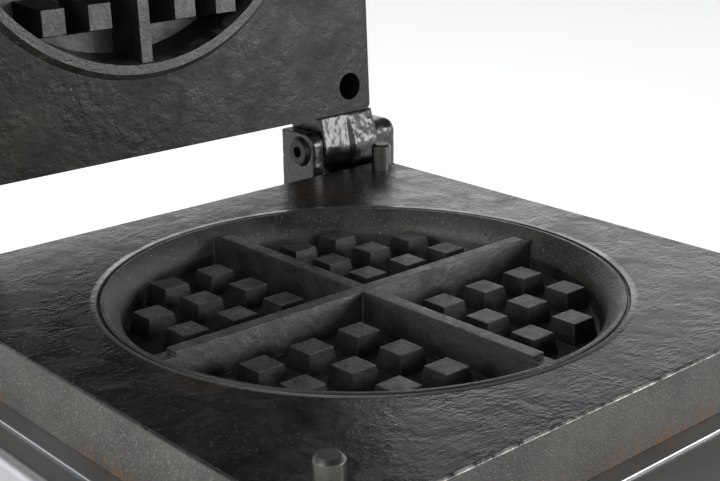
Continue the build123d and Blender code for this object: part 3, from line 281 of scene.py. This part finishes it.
def mould_floor():
    """The mould's inside: carbonised oil, black and slightly wet in its corners. The plates' corner holes take the
    same black as painted shade.
    """
    shader = Shader("mould_floor", Specular_IOR_Level=0.5)
    soot = shader.noise(70, detail=5, roughness=0.6)
    shader.colour(shader.ramp(soot, (0.3, (0.003, 0.003, 0.0025)), (0.75, (0.012, 0.011, 0.009))))
    shader.roughness(shader.ramp(shader.noise(110, detail=4), (0.3, 0.28), (0.7, 0.55)))
    shader.bump((shader.noise(320, detail=5, roughness=0.6), 0.5, 0.4 * MM))
    return shader.material


def stud_top():
    """Tops of the studs and dividers, greyer than the black mould round them, with painted glints."""
    shader = Shader("stud_top", Specular_IOR_Level=0.5)
    rubbed = shader.noise(120, detail=4, roughness=0.6)
    base = shader.ramp(rubbed, (0.35, (0.008, 0.008, 0.007)), (0.65, (0.045, 0.044, 0.041)))
    # painted glints: pale specks that stand in for light catching the tops
    painted_glints = shader.ramp(shader.noise(1000, detail=3, roughness=0.7), (0.56, 0.0), (0.68, 0.8))
    shader.colour(shader.mix(painted_glints, base, (0.17, 0.17, 0.16)))
    shader.roughness(shader.ramp(shader.noise(200, detail=3), (0.3, 0.32), (0.7, 0.52)))
    shader.bump((shader.noise(560, detail=4, roughness=0.7), 0.8, 0.35 * MM))
    return shader.material


def enamelled_casting():
    """Glossy black stove enamel over a lumpy sand casting."""
    shader = Shader("enamelled_casting", Coat_Weight=0.4, Coat_Roughness=0.12, Specular_IOR_Level=0.35)
    tint = shader.noise(60, detail=4)
    shader.colour(shader.ramp(tint, (0.35, (0.002, 0.002, 0.002)), (0.75, (0.009, 0.008, 0.007))))
    shader.roughness(shader.ramp(shader.noise(180, detail=4, roughness=0.6), (0.3, 0.22), (0.7, 0.42)))
    shader.bump(
        (shader.noise(560, detail=5, roughness=0.6), 0.5, 0.3 * MM),
        (shader.noise(1700, detail=2), 0.3, 0.1 * MM),
    )
    return shader.material


# ---------------------------------------------------------------- sheet metal and fasteners
STREAKS_ACROSS = 900     # scale of the noise across the rolling streaks
STREAKS_ALONG = 9        # and along them


def rolled_steel(name, colour, gloss, along):
    """Stainless or plated sheet with fine rolling streaks along one axis and faint handling smears."""
    shader = Shader(name, Metallic=1.0)
    stretch = [STREAKS_ACROSS] * 3
    stretch["xyz".index(along)] = STREAKS_ALONG
    streaks = shader.noise(1, detail=4, roughness=0.6, vector=shader.stretched(*stretch))
    smears = shader.noise(16, detail=4, roughness=0.6)
    darker = tuple(c * 0.74 for c in colour)
    shader.colour(shader.mix(shader.ramp(smears, (0.35, 0.0), (0.7, 1.0)), colour, darker))
    streaky = shader.math("MULTIPLY_ADD", streaks, 0.12)
    streaky.node.inputs[2].default_value = gloss
    smeared = shader.math("MULTIPLY_ADD", smears, 0.10)
    shader.link(streaky, smeared.node.inputs[2])
    shader.roughness(smeared)
    shader.bump((streaks, 0.14, 0.04 * MM))
    return shader.material


def turned_metal(name, colour, gloss, metallic=1.0, stain=(0.12, 0.10, 0.08)):
    """Machined or plated hardware with grime in patches and fine scratches."""
    shader = Shader(name, Metallic=metallic)
    grime = shader.ramp(shader.noise(240, detail=4, roughness=0.65), (0.5, 0.0), (0.72, 0.55))
    shader.colour(shader.mix(grime, colour, stain))
    handled = shader.noise(500, detail=4, roughness=0.6)
    shader.roughness(shader.ramp(handled, (0.3, gloss), (0.7, gloss + 0.16)))
    scratches = shader.noise(1, detail=3, roughness=0.6, vector=shader.stretched(2500, 2500, 300))
    shader.bump((scratches, 0.12, 0.05 * MM))
    return shader.material


# ---------------------------------------------------------------- plastics, rubber and the rest
def moulded(name, dark, light, gloss, grain=2600, depth=0.05 * MM):
    """Moulded plastic or rubber with a spark-eroded grain and faint dust."""
    shader = Shader(name, Specular_IOR_Level=0.5)
    shader.colour(shader.ramp(shader.noise(80, detail=4), (0.3, dark), (0.7, light)))
    shader.roughness(shader.ramp(shader.noise(300, detail=4), (0.3, gloss), (0.7, gloss + 0.14)))
    shader.bump((shader.noise(grain, detail=2, roughness=0.5), 0.35, depth))
    return shader.material


def lens(name, colour, deep):
    """Translucent lamp lens with moulded prisms behind its dome."""
    shader = Shader(name, Transmission_Weight=0.35, IOR=1.49)
    clouding = shader.ramp(shader.noise(400, detail=3), (0.35, 0.0), (0.7, 1.0))
    shader.colour(shader.mix(clouding, colour, deep))
    shader.roughness(shader.ramp(shader.noise(600, detail=3), (0.3, 0.08), (0.7, 0.2)))
    shader.bump((shader.cells(1100), 0.25, 0.1 * MM))
    return shader.material


def mineral_wool():
    """Pale yellow mineral wool with its fibres lying along one axis."""
    shader = Shader("mineral_wool", Sheen_Weight=0.3)
    fibres = shader.noise(1, detail=6, roughness=0.75, vector=shader.stretched(260, 900, 260))
    shader.colour(shader.ramp(fibres, (0.3, (0.40, 0.35, 0.24)), (0.7, (0.74, 0.69, 0.55))))
    shader.roughness(shader.ramp(fibres, (0.3, 0.85), (0.7, 1.0)))
    shader.bump((fibres, 0.9, 1.2 * MM))
    return shader.material


# ---------------------------------------------------------------- the finishes, by material slot
EDGE = worn_edge()
RING = ring_band()
FLOOR_OF_MOULD = mould_floor()
STUD = stud_top()
LOWER_FACE = seasoned_face(
    "lower_face",
    dark=(0.0030, 0.0030, 0.0027),
    light=(0.010, 0.0098, 0.0090),
    stain=(0.026, 0.014, 0.007),
    gloss=0.15,
    shine=0.5,
    lumps=0.1 * MM,
    groove_centre=PLATE,
)
UPPER_FACE = seasoned_face(
    "upper_face",
    dark=(0.0035, 0.004, 0.003),
    light=(0.014, 0.015, 0.012),
    stain=(0.030, 0.024, 0.016),
    gloss=0.29,
    shine=0.22,
    lumps=0.38 * MM,
)
SIDE = cast_side("cast_side", rust=1.0)
LID_SIDE = cast_side("lid_side", rust=0.0)
ENAMEL = enamelled_casting()

finishes = {
    "black_casting": ENAMEL,
    "seasoned_iron": SIDE,
    "polished_stainless": rolled_steel("polished_stainless", (0.46, 0.465, 0.475), 0.20, along="y"),
    "plain_sheet": rolled_steel("plain_sheet", (0.33, 0.335, 0.34), 0.26, along="x"),
    "zinc_steel": turned_metal("zinc_steel", (0.36, 0.37, 0.39), 0.30),
    "black_fastener": turned_metal(
        "black_fastener", (0.025, 0.025, 0.026), 0.24, metallic=0.7, stain=(0.06, 0.045, 0.03)
    ),
    "post_steel": turned_metal("post_steel", (0.10, 0.097, 0.090), 0.30, stain=(0.03, 0.027, 0.022)),
    "bright_fastener": turned_metal("bright_fastener", (0.42, 0.42, 0.43), 0.16),
    "bronze": turned_metal("bronze", (0.60, 0.40, 0.19), 0.3),
    "element_sheath": turned_metal("element_sheath", (0.16, 0.14, 0.13), 0.45, metallic=0.8),
    "shaft_steel": turned_metal("shaft_steel", (0.58, 0.58, 0.58), 0.26),
    "black_plastic": moulded("black_plastic", (0.012, 0.012, 0.013), (0.026, 0.026, 0.027), 0.38),
    "knob_plastic": moulded(
        "knob_plastic", (0.010, 0.010, 0.010), (0.022, 0.022, 0.022), 0.22, grain=3200, depth=0.02 * MM
    ),
    "lamp_bezel": turned_metal("lamp_bezel", (0.42, 0.42, 0.43), 0.12),
    "green_lens": lens("green_lens", (0.04, 0.42, 0.12), (0.02, 0.22, 0.07)),
    "amber_lens": lens("amber_lens", (0.85, 0.32, 0.03), (0.55, 0.15, 0.01)),
    "ceramic": moulded(
        "ceramic", (0.62, 0.59, 0.52), (0.80, 0.78, 0.72), 0.5, grain=1800, depth=0.08 * MM
    ),
    "foot_rubber": moulded(
        "foot_rubber", (0.014, 0.014, 0.014), (0.034, 0.033, 0.032), 0.7, grain=1500, depth=0.12 * MM
    ),
    "mineral_wool": mineral_wool(),
    "grip_phenolic": moulded(
        "grip_phenolic", (0.012, 0.011, 0.010), (0.026, 0.024, 0.022), 0.30, grain=2200
    ),
}
slot_of = {part["node"]: part["material_slot"] for part in frame["record"]["subparts"]}
bodies = frame["record"]["behaviour"]["bodies"]
body_of = {node: body for body, members in bodies.items() for node in members}


# ---------------------------------------------------------------- building pieces from the frame
WELD_DISTANCE = 2e-6
FLAT_WITHIN = radians(0.6)      # faces that meet at less than this are one flat face
SHARP_ANGLE = radians(32)       # edges that turn more than this are rounded
BEVEL_SEGMENTS = 2
FLAT_FACE_WEIGHT = 80


def bake(piece):
    """Replace a piece's mesh by what its modifiers make of it, and drop them."""
    graph = bpy.context.evaluated_depsgraph_get()
    made = bpy.data.meshes.new_from_object(piece.evaluated_get(graph), depsgraph=graph)
    piece.modifiers.clear()
    piece.data = made


def push(mesh, distance):
    """Move every vertex along its normal by distance(point), and shade the mesh smooth."""
    moved = [vertex.co + vertex.normal * distance(vertex.co) for vertex in mesh.vertices]
    for vertex, point in zip(mesh.vertices, moved):
        vertex.co = point
    for polygon in mesh.polygons:
        polygon.use_smooth = True


def new_piece(name, mesh, *materials):
    """A new object in the scene with this mesh and only these materials."""
    piece = bpy.data.objects.new(name, mesh)
    scene.collection.objects.link(piece)
    piece.data.materials.clear()
    for material in materials:
        piece.data.materials.append(material)
    return piece


def settle(piece, node):
    """The piece stands for its CAD node, whose part it hides, and rides on that node's body."""
    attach(piece, body_of[node])
    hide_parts(node)


def copied(node):
    """A welded copy of a CAD node's mesh with its flat faces merged."""
    mesh = nodes[node].data.copy()
    work = bmesh.new()
    work.from_mesh(mesh)
    bmesh.ops.remove_doubles(work, verts=work.verts, dist=WELD_DISTANCE)
    bmesh.ops.dissolve_limit(work, angle_limit=FLAT_WITHIN, verts=work.verts, edges=work.edges)
    work.to_mesh(mesh)
    work.free()
    if "custom_normal" in mesh.attributes:
        mesh.attributes.remove(mesh.attributes["custom_normal"])
    return mesh


def soften(piece, width):
    """Round the sharp edges with a real bevel and shade the rest smooth."""
    for polygon in piece.data.polygons:
        polygon.use_smooth = True
    bevel = piece.modifiers.new("rounded_edges", "BEVEL")
    bevel.width = width
    bevel.segments = BEVEL_SEGMENTS
    bevel.limit_method = "ANGLE"
    bevel.angle_limit = SHARP_ANGLE
    bevel.use_clamp_overlap = True
    weighted = piece.modifiers.new("flat_faces_first", "WEIGHTED_NORMAL")
    weighted.weight = FLAT_FACE_WEIGHT
    bake(piece)


def reskin(piece, voxel, smoothings, distance):
    """Make a piece one rounded skin and move its surface out by distance(point)."""
    remesh = piece.modifiers.new("one_skin", "REMESH")
    remesh.mode = "VOXEL"
    remesh.voxel_size = voxel
    smooth = piece.modifiers.new("rounded", "SMOOTH")
    smooth.iterations = smoothings
    bake(piece)
    push(piece.data, distance)


def finished(node, width):
    """A CAD node's shape with rounded edges and its slot's material."""
    piece = new_piece(node + "_finished", copied(node), finishes[slot_of[node]])
    soften(piece, width)
    settle(piece, node)


# ---------------------------------------------------------------- the two plates
FACE_SLOT, SIDE_SLOT, RING_SLOT, FLOOR_SLOT, STUD_SLOT, EDGE_SLOT = range(6)
PLATE_ROUNDING = 0.55 * MM
LOWER_STUD_RECESS = 6 * MM      # how far the stud tops lie below the parting face
UPPER_STUD_RECESS = 0.2 * MM

# A polygon's finish follows from the upward part of its normal and from its place on the plate.
LEVEL = 0.97                    # above this it can be the parting face
LEANING = 0.12                  # above this, the rounding between that face and a side
STUD_LEVEL = 0.5                # above this, the top of a stud or divider
HOLE_WALL = 0.8                 # below this, the wall of a corner hole
TOP_MARGIN = 0.3 * MM           # how far below its nominal height a top may lie
ROUNDING_DEPTH = 2 * MM         # and how far down the rounding may go
HOLE_REACH = 7 * MM             # a corner hole's own surfaces lie this near to its axis
FRONT_STRIP = 4 * MM            # depth of the worn strip along the front edge
GROOVE_TOP = 0.1 * MM           # the groove is black from this depth down
LIP_INNER = 0.9 * RING_MOUTH    # the ring's lip goes in to this radius
LIP_DEPTH = 5.2 * MM            # and down to this depth


def block_slot(height, upward, inside_hole, at_the_front):
    """Finish of a plate's outer block: parting face, worn front edge, sides, and the corner holes in painted
    shade.
    """
    # the walls of a corner hole are painted black as shade with the mould finish
    if inside_hole:
        return FLOOR_SLOT
    if upward > LEVEL and height > -TOP_MARGIN:
        return FACE_SLOT
    if upward > LEANING and height > -ROUNDING_DEPTH:
        return EDGE_SLOT if at_the_front else FACE_SLOT
    return SIDE_SLOT


def mould_slot(height, radius, upward, stud_recess):
    """Finish inside the plate's ring: lip, groove, stud tops and the black rest."""
    if radius > GROOVE_INNER:
        return FLOOR_SLOT if height < -GROOVE_TOP else RING_SLOT
    if radius > LIP_INNER and height > -LIP_DEPTH:
        return RING_SLOT
    if upward > STUD_LEVEL and height > -stud_recess - TOP_MARGIN:
        return STUD_SLOT
    return FLOOR_SLOT


def cast_plate(node, name, origin, up, face, side, stud_recess):
    """A plate with rounded edges and its own finish on each of its regions."""
    piece = new_piece(name, copied(node), face, side, RING, FLOOR_OF_MOULD, STUD, EDGE)
    soften(piece, PLATE_ROUNDING)
    mesh = piece.data
    across = Vector((1, 0, 0))
    along = up.cross(across)
    hole = Vector((CORNER_HOLE, CORNER_HOLE))
    for polygon in mesh.polygons:
        corners = [mesh.vertices[i].co - origin for i in polygon.vertices]
        heights = [corner.dot(up) for corner in corners]
        flat = [Vector((corner.dot(across), corner.dot(along))) for corner in corners]
        upward = polygon.normal.dot(up)
        if max(point.length for point in flat) > RING_BAND_OUTER:
            reach = max((Vector((abs(x), abs(y))) - hole).length for x, y in flat)
            inside_hole = reach < HOLE_REACH and upward < HOLE_WALL
            at_the_front = max(y for x, y in flat) < FRONT_STRIP - PLATE_HALF
            polygon.material_index = block_slot(max(heights), upward, inside_hole, at_the_front)
        else:
            nearest = min(point.length for point in flat)
            polygon.material_index = mould_slot(max(heights), nearest, upward, stud_recess)
    settle(piece, node)


cast_plate("lower_plate", "lower_plate_cast", PLATE, UP, LOWER_FACE, SIDE, LOWER_STUD_RECESS)
cast_plate("upper_plate", "upper_plate_cast", LID, -LID_UP, UPPER_FACE, LID_SIDE, UPPER_STUD_RECESS)


# ---------------------------------------------------------------- hinge castings
HINGE_CASTINGS = ("hinge_bracket_right", "hinge_bracket_left", "hinge_arm_right", "hinge_arm_left")
CASTING_VOXEL = 0.7 * MM
CASTING_SMOOTHINGS = 4
CASTING_LUMPS = 0.16 * MM
CASTING_LUMP_SCALE = 260


def cast_lumps(point):
    """How far a sand casting's surface stands out at a point."""
    return CASTING_LUMPS * noise.fractal(point * CASTING_LUMP_SCALE, 0.8, 2.0, 3)


def sand_cast(node):
    """A rounded casting with the shallow lumps of a sand mould under its enamel."""
    piece = new_piece(node + "_cast", nodes[node].data.copy(), ENAMEL)
    reskin(piece, CASTING_VOXEL, CASTING_SMOOTHINGS, cast_lumps)
    settle(piece, node)


for casting in HINGE_CASTINGS:
    sand_cast(casting)


# ---------------------------------------------------------------- control knob
KNOB_DEPTH = 22.5 * MM
KNOB_DISH = 0.925        # the dished top's place, as a share of the depth
FLUTES = 18
KNOB_SIDES = 216
FLUTE_DEPTH = 0.05       # as a share of the radius
GRIP_LOW = 0.22          # the fluted grip runs from here to GRIP_HIGH, as shares of the depth
GRIP_HIGH = 0.96
GRIP_INNER = 0.6         # and lies outside this share of the radius
TAPER_STEPS = 8
KNOB_SHARP_ANGLE = radians(40)


def fluted_knob():
    """Build the knob, a skirt, a fluted grip and a dished top, and give its centre, radius and back."""
    low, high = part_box("thermostat_knob")
    centre = Vector(((low.x + high.x) / 2, 0, (low.z + high.z) / 2))
    radius = (high.x - low.x) / 2
    back = high.y
    # Shares of the radius and of the depth, from the knob's back to its front.
    profile = [(0.15, 0.0), (1.0, 0.0), (1.0, 0.11), (0.985, 0.14), (0.87, 0.2), (0.845, 0.25)]
    for k in range(1, TAPER_STEPS + 1):
        profile.append((0.84 - 0.055 * k / TAPER_STEPS, 0.25 + 0.65 * k / TAPER_STEPS))
    profile += [(0.76, 0.945), (0.71, 0.97), (0.64, 0.965), (0.55, 0.94), (0.3, 0.93), (0.02, 0.93)]
    work = bmesh.new()
    rings = []
    for share, along in profile:
        fluted = GRIP_LOW < along < GRIP_HIGH and share > GRIP_INNER
        ring = []
        for k in range(KNOB_SIDES):
            angle = 2 * pi * k / KNOB_SIDES
            groove = FLUTE_DEPTH * max(0.0, cos(FLUTES * angle)) ** 3 if fluted else 0.0
            reach = radius * (share - groove)
            place = (centre.x + reach * sin(angle), back - KNOB_DEPTH * along, centre.z + reach * cos(angle))
            ring.append(work.verts.new(place))
        rings.append(ring)
    for inner, outer in zip(rings, rings[1:]):
        for k in range(KNOB_SIDES):
            after = (k + 1) % KNOB_SIDES
            work.faces.new((inner[k], inner[after], outer[after], outer[k]))
    work.faces.new(rings[0])
    work.faces.new(rings[-1])
    bmesh.ops.recalc_face_normals(work, faces=work.faces)
    mesh = bpy.data.meshes.new("fluted_knob")
    work.to_mesh(mesh)
    work.free()
    piece = new_piece("fluted_knob", mesh, finishes["knob_plastic"])
    for polygon in mesh.polygons:
        polygon.use_smooth = True
    mesh.set_sharp_from_angle(angle=KNOB_SHARP_ANGLE)
    settle(piece, "thermostat_knob")
    return centre, radius, back


BAR_FACES = ((3, 2, 1, 0), (4, 5, 6, 7), (0, 1, 5, 4), (1, 2, 6, 5), (2, 3, 7, 6), (3, 0, 4, 7))
BAR_ROUNDING = 0.2       # as a share of the bar's width or thickness, whichever is less


def bar(name, material, start, end, width, thickness, normal):
    """A thin raised bar from start to end, with rounded edges."""
    along = (end - start).normalized()
    across = along.cross(normal).normalized()
    work = bmesh.new()
    corners = []
    for up in (0, 1):
        for point, sideways in ((start, -1), (end, -1), (end, 1), (start, 1)):
            corners.append(work.verts.new(point + across * sideways * width / 2 + normal * up * thickness))
    for loop in BAR_FACES:
        work.faces.new([corners[i] for i in loop])
    bmesh.ops.recalc_face_normals(work, faces=work.faces)
    rounding = min(width, thickness) * BAR_ROUNDING
    bmesh.ops.bevel(work, geom=work.edges[:], offset=rounding, segments=BEVEL_SEGMENTS, affect="EDGES")
    mesh = bpy.data.meshes.new(name)
    work.to_mesh(mesh)
    work.free()
    return new_piece(name, mesh, material)


MARKING = moulded("marking_ink", (0.62, 0.62, 0.60), (0.78, 0.78, 0.75), 0.45)
DIAL_MARK = moulded("dial_mark", (0.015, 0.015, 0.015), (0.04, 0.04, 0.04), 0.4)
OUT = Vector((0, -1, 0))        # out of the front panel
POINTER_INNER = 3.5 * MM
POINTER_OUTER = 13 * MM
POINTER_WIDTH = 1.8 * MM
POINTER_THICKNESS = 1.0 * MM
knob_centre, knob_radius, knob_back = fluted_knob()
knob_face = Vector((knob_centre.x, knob_back - KNOB_DEPTH * KNOB_DISH, knob_centre.z))
pointer = bar(
    "knob_pointer",
    MARKING,
    knob_face + UP * POINTER_INNER,
    knob_face + UP * POINTER_OUTER,
    POINTER_WIDTH,
    POINTER_THICKNESS,
    OUT,
)
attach(pointer, "knob")


# ---------------------------------------------------------------- the dial round the knob
DIAL_TICKS = 11
DIAL_SWEEP = radians(270)
BEZEL_PROUD = 2.5 * MM         # how far the lamp bezels stand out of the panel
INK_LIFT = 0.02 * MM           # between the panel and the print, so that they don't flicker
INK_THICKNESS = 0.15 * MM
TICK_GAP = 1.5 * MM            # between the knob and the ticks
TICK_WIDTH = 0.6 * MM
LONG_TICK = 2.6 * MM
SHORT_TICK = 1.6 * MM
NUMBER_GAP = 5.6 * MM          # from a tick's start to its number's middle
NUMBER_SIZE = 4.6 * MM
NUMBER_THICKNESS = 0.08 * MM


def number(text, place):
    """A printed dial number standing upright on the front panel."""
    curve = bpy.data.curves.new("dial_number_" + text, "FONT")
    curve.body = text
    curve.size = NUMBER_SIZE
    curve.extrude = NUMBER_THICKNESS
    curve.align_x = "CENTER"
    curve.align_y = "CENTER"
    letter = bpy.data.objects.new("dial_number_" + text, curve)
    scene.collection.objects.link(letter)
    letter.data.materials.append(DIAL_MARK)
    letter.matrix_world = Matrix.Translation(place) @ Matrix.Rotation(radians(90), 4, "X")
    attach(letter, "base")


def dial_scale():
    """Ticks and the numbers 1 to 6 round the knob, printed on the front panel."""
    panel_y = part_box("lamp_bezels")[0].y + BEZEL_PROUD
    middle = Vector((knob_centre.x, panel_y + INK_LIFT, knob_centre.z))
    for k in range(DIAL_TICKS):
        angle = DIAL_SWEEP * k / (DIAL_TICKS - 1)
        outward = Vector((sin(angle), 0, cos(angle)))
        numbered = k % 2 == 0
        start = middle + outward * (knob_radius + TICK_GAP)
        end = start + outward * (LONG_TICK if numbered else SHORT_TICK)
        tick = bar(f"dial_tick_{k + 1}", DIAL_MARK, start, end, TICK_WIDTH, INK_THICKNESS, OUT)
        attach(tick, "base")
        if numbered:
            number(str(k // 2 + 1), start + outward * NUMBER_GAP)


dial_scale()


# ---------------------------------------------------------------- insulation in the lid
WOOL_VOXEL = 1.6 * MM
WOOL_SMOOTHINGS = 6
WOOL_SINK = 0.3 * MM           # keeps the tufts inside the pad's own box
WOOL_TUFTS = 0.25 * MM
WOOL_TUFT_SCALE = 300


def wool_tufts(point):
    """How far the pad's surface stands out at a point: inwards nearly everywhere."""
    return -WOOL_SINK - WOOL_TUFTS * noise.fractal(point * WOOL_TUFT_SCALE, 0.7, 2.0, 4)


def wool_batt():
    """The mineral wool pad: a soft-cornered slab whose fibres stand unevenly."""
    piece = new_piece("wool_batt", nodes["lid_insulation"].data.copy(), finishes["mineral_wool"])
    reskin(piece, WOOL_VOXEL, WOOL_SMOOTHINGS, wool_tufts)
    settle(piece, "lid_insulation")


wool_batt()

# ---------------------------------------------------------------- everything else: listed parts rounded edge by edge, the rest given their finishes
EDGE_WIDTHS = {
    "base_shell": 0.35 * MM,
    "lid_cover": 0.35 * MM,
    "plate_trim": 0.25 * MM,
    "bottom_pan": 0.3 * MM,
    "handle_brackets": 0.6 * MM,
    "handle_grip": 0.8 * MM,
    "handle_nuts": 0.3 * MM,
    "hinge_bolts": 0.4 * MM,
    "hinge_pin_rings": 0.5 * MM,
    "hinge_pin_right": 0.3 * MM,
    "hinge_pin_left": 0.3 * MM,
    "hinge_arm_screws": 0.3 * MM,
    "cover_screws": 0.2 * MM,
    "pan_screws": 0.2 * MM,
    "handle_bracket_screws": 0.2 * MM,
    "locating_posts": 0.25 * MM,
    "switch_housing": 0.3 * MM,
    "switch_rocker": 0.5 * MM,
    "cord_gland": 0.5 * MM,
    "rubber_feet": 0.6 * MM,
    "lamp_bezels": 0.2 * MM,
}
for node, width in EDGE_WIDTHS.items():
    finished(node, width)

shown_by_piece = {"lower_plate", "upper_plate", "thermostat_knob", "lid_insulation"}
shown_by_piece |= {*HINGE_CASTINGS, *EDGE_WIDTHS}
for node in sorted(set(nodes) - shown_by_piece):
    nodes[node].data.materials.clear()
    nodes[node].data.materials.append(finishes[slot_of[node]])

# ---------------------------------------------------------------- floor, lights and camera
FLOOR_HALF = 6.0
FLOOR_SQUARES = 8
FLOOR_GLOW = 0.42
SKY_STOPS = ((0.33, 1.0), (0.41, 0.12))    # sine of the height above the horizon, and the grey there
SKY_TINT = (0.97, 0.985, 1.0)
SKY_STRENGTH = 1.65
LIGHTS = (    # name, place, aim, size and power; the key is low at the right front
    ("key", (0.86, -0.96, 0.34), (0, 0, 0.15), (0.30, 0.50), 7),
    ("left", (-1.3, 0.1, 1.0), (0, 0, 0.15), (0.8, 0.8), 8),
    ("overhead", (0.0, 0.9, 1.6), (0.0, 0.3, 0.0), (1.4, 1.0), 7),
)


def floor():
    """A plain pale floor that shows nothing of its own but a faint mottling."""
    work = bmesh.new()
    bmesh.ops.create_grid(work, x_segments=FLOOR_SQUARES, y_segments=FLOOR_SQUARES, size=FLOOR_HALF)
    mesh = bpy.data.meshes.new("floor")
    work.to_mesh(mesh)
    work.free()
    shader = Shader("pale_floor", Specular_IOR_Level=0.2)
    shader.colour(shader.ramp(shader.noise(3, detail=3), (0.3, 0.86), (0.7, 0.90)))
    shader.roughness(shader.ramp(shader.noise(9, detail=3), (0.3, 0.7), (0.7, 0.85)))
    shader.surface.inputs["Emission Color"].default_value = (1, 1, 1, 1)
    shader.surface.inputs["Emission Strength"].default_value = FLOOR_GLOW
    piece = new_piece("floor", mesh, shader.material)


def soft_box(name, place, aim, size, power):
    """A rectangular light at a place, turned towards its aim."""
    light = bpy.data.lights.new(name, "AREA")
    light.shape = "RECTANGLE"
    light.size, light.size_y = size
    light.energy = power
    lamp = bpy.data.objects.new(name, light)
    scene.collection.objects.link(lamp)
    lamp.location = place
    lamp.rotation_mode = "QUATERNION"
    lamp.rotation_quaternion = (Vector(aim) - Vector(place)).to_track_quat("-Z", "Y")


def room():
    """A world that is white low down and dim overhead, and three soft lights."""
    world = bpy.data.worlds.new("studio")
    scene.world = world
    world.use_nodes = True
    tree = world.node_tree
    direction = tree.nodes.new("ShaderNodeTexCoord")
    split = tree.nodes.new("ShaderNodeSeparateXYZ")
    sky = tree.nodes.new("ShaderNodeValToRGB")
    tree.links.new(direction.outputs["Generated"], split.inputs[0])
    tree.links.new(split.outputs["Z"], sky.inputs["Fac"])
    for element, (sine, grey) in zip(sky.color_ramp.elements, SKY_STOPS):
        element.position = sine
        element.color = (*(grey * share for share in SKY_TINT), 1)
    background = tree.nodes["Background"]
    tree.links.new(sky.outputs["Color"], background.inputs["Color"])
    background.inputs["Strength"].default_value = SKY_STRENGTH
    for light in LIGHTS:
        soft_box(*light)


VIEW_AZIMUTH = radians(-41.5809)
VIEW_ELEVATION = radians(18.4107)
VIEW_ROLL = radians(-0.6181)
VIEW_TARGET = PLATE + Vector((32.638, 38.408, 0)) * MM
VIEW_DISTANCE = 546.904 * MM
LENS_MM = 67.841
SENSOR_MM = 36
NEAREST_SHOWN = 0.02
FARTHEST_SHOWN = 50


def camera():
    """The camera at the photograph's viewing angle."""
    flat = cos(VIEW_ELEVATION)
    back = Vector((sin(VIEW_AZIMUTH) * flat, -cos(VIEW_AZIMUTH) * flat, sin(VIEW_ELEVATION)))
    right = UP.cross(back).normalized()
    up = back.cross(right)
    rolled_right = right * cos(VIEW_ROLL) + up * sin(VIEW_ROLL)
    rolled_up = up * cos(VIEW_ROLL) - right * sin(VIEW_ROLL)
    data = bpy.data.cameras.new("camera")
    data.lens = LENS_MM
    data.sensor_width = SENSOR_MM
    data.clip_start = NEAREST_SHOWN
    data.clip_end = FARTHEST_SHOWN
    view = bpy.data.objects.new("camera", data)
    scene.collection.objects.link(view)
    turn = Matrix((rolled_right, rolled_up, back)).transposed().to_4x4()
    view.matrix_world = Matrix.Translation(VIEW_TARGET + back * VIEW_DISTANCE) @ turn
    scene.camera = view


floor()
room()
camera()
scene.view_settings.view_transform = "Standard"
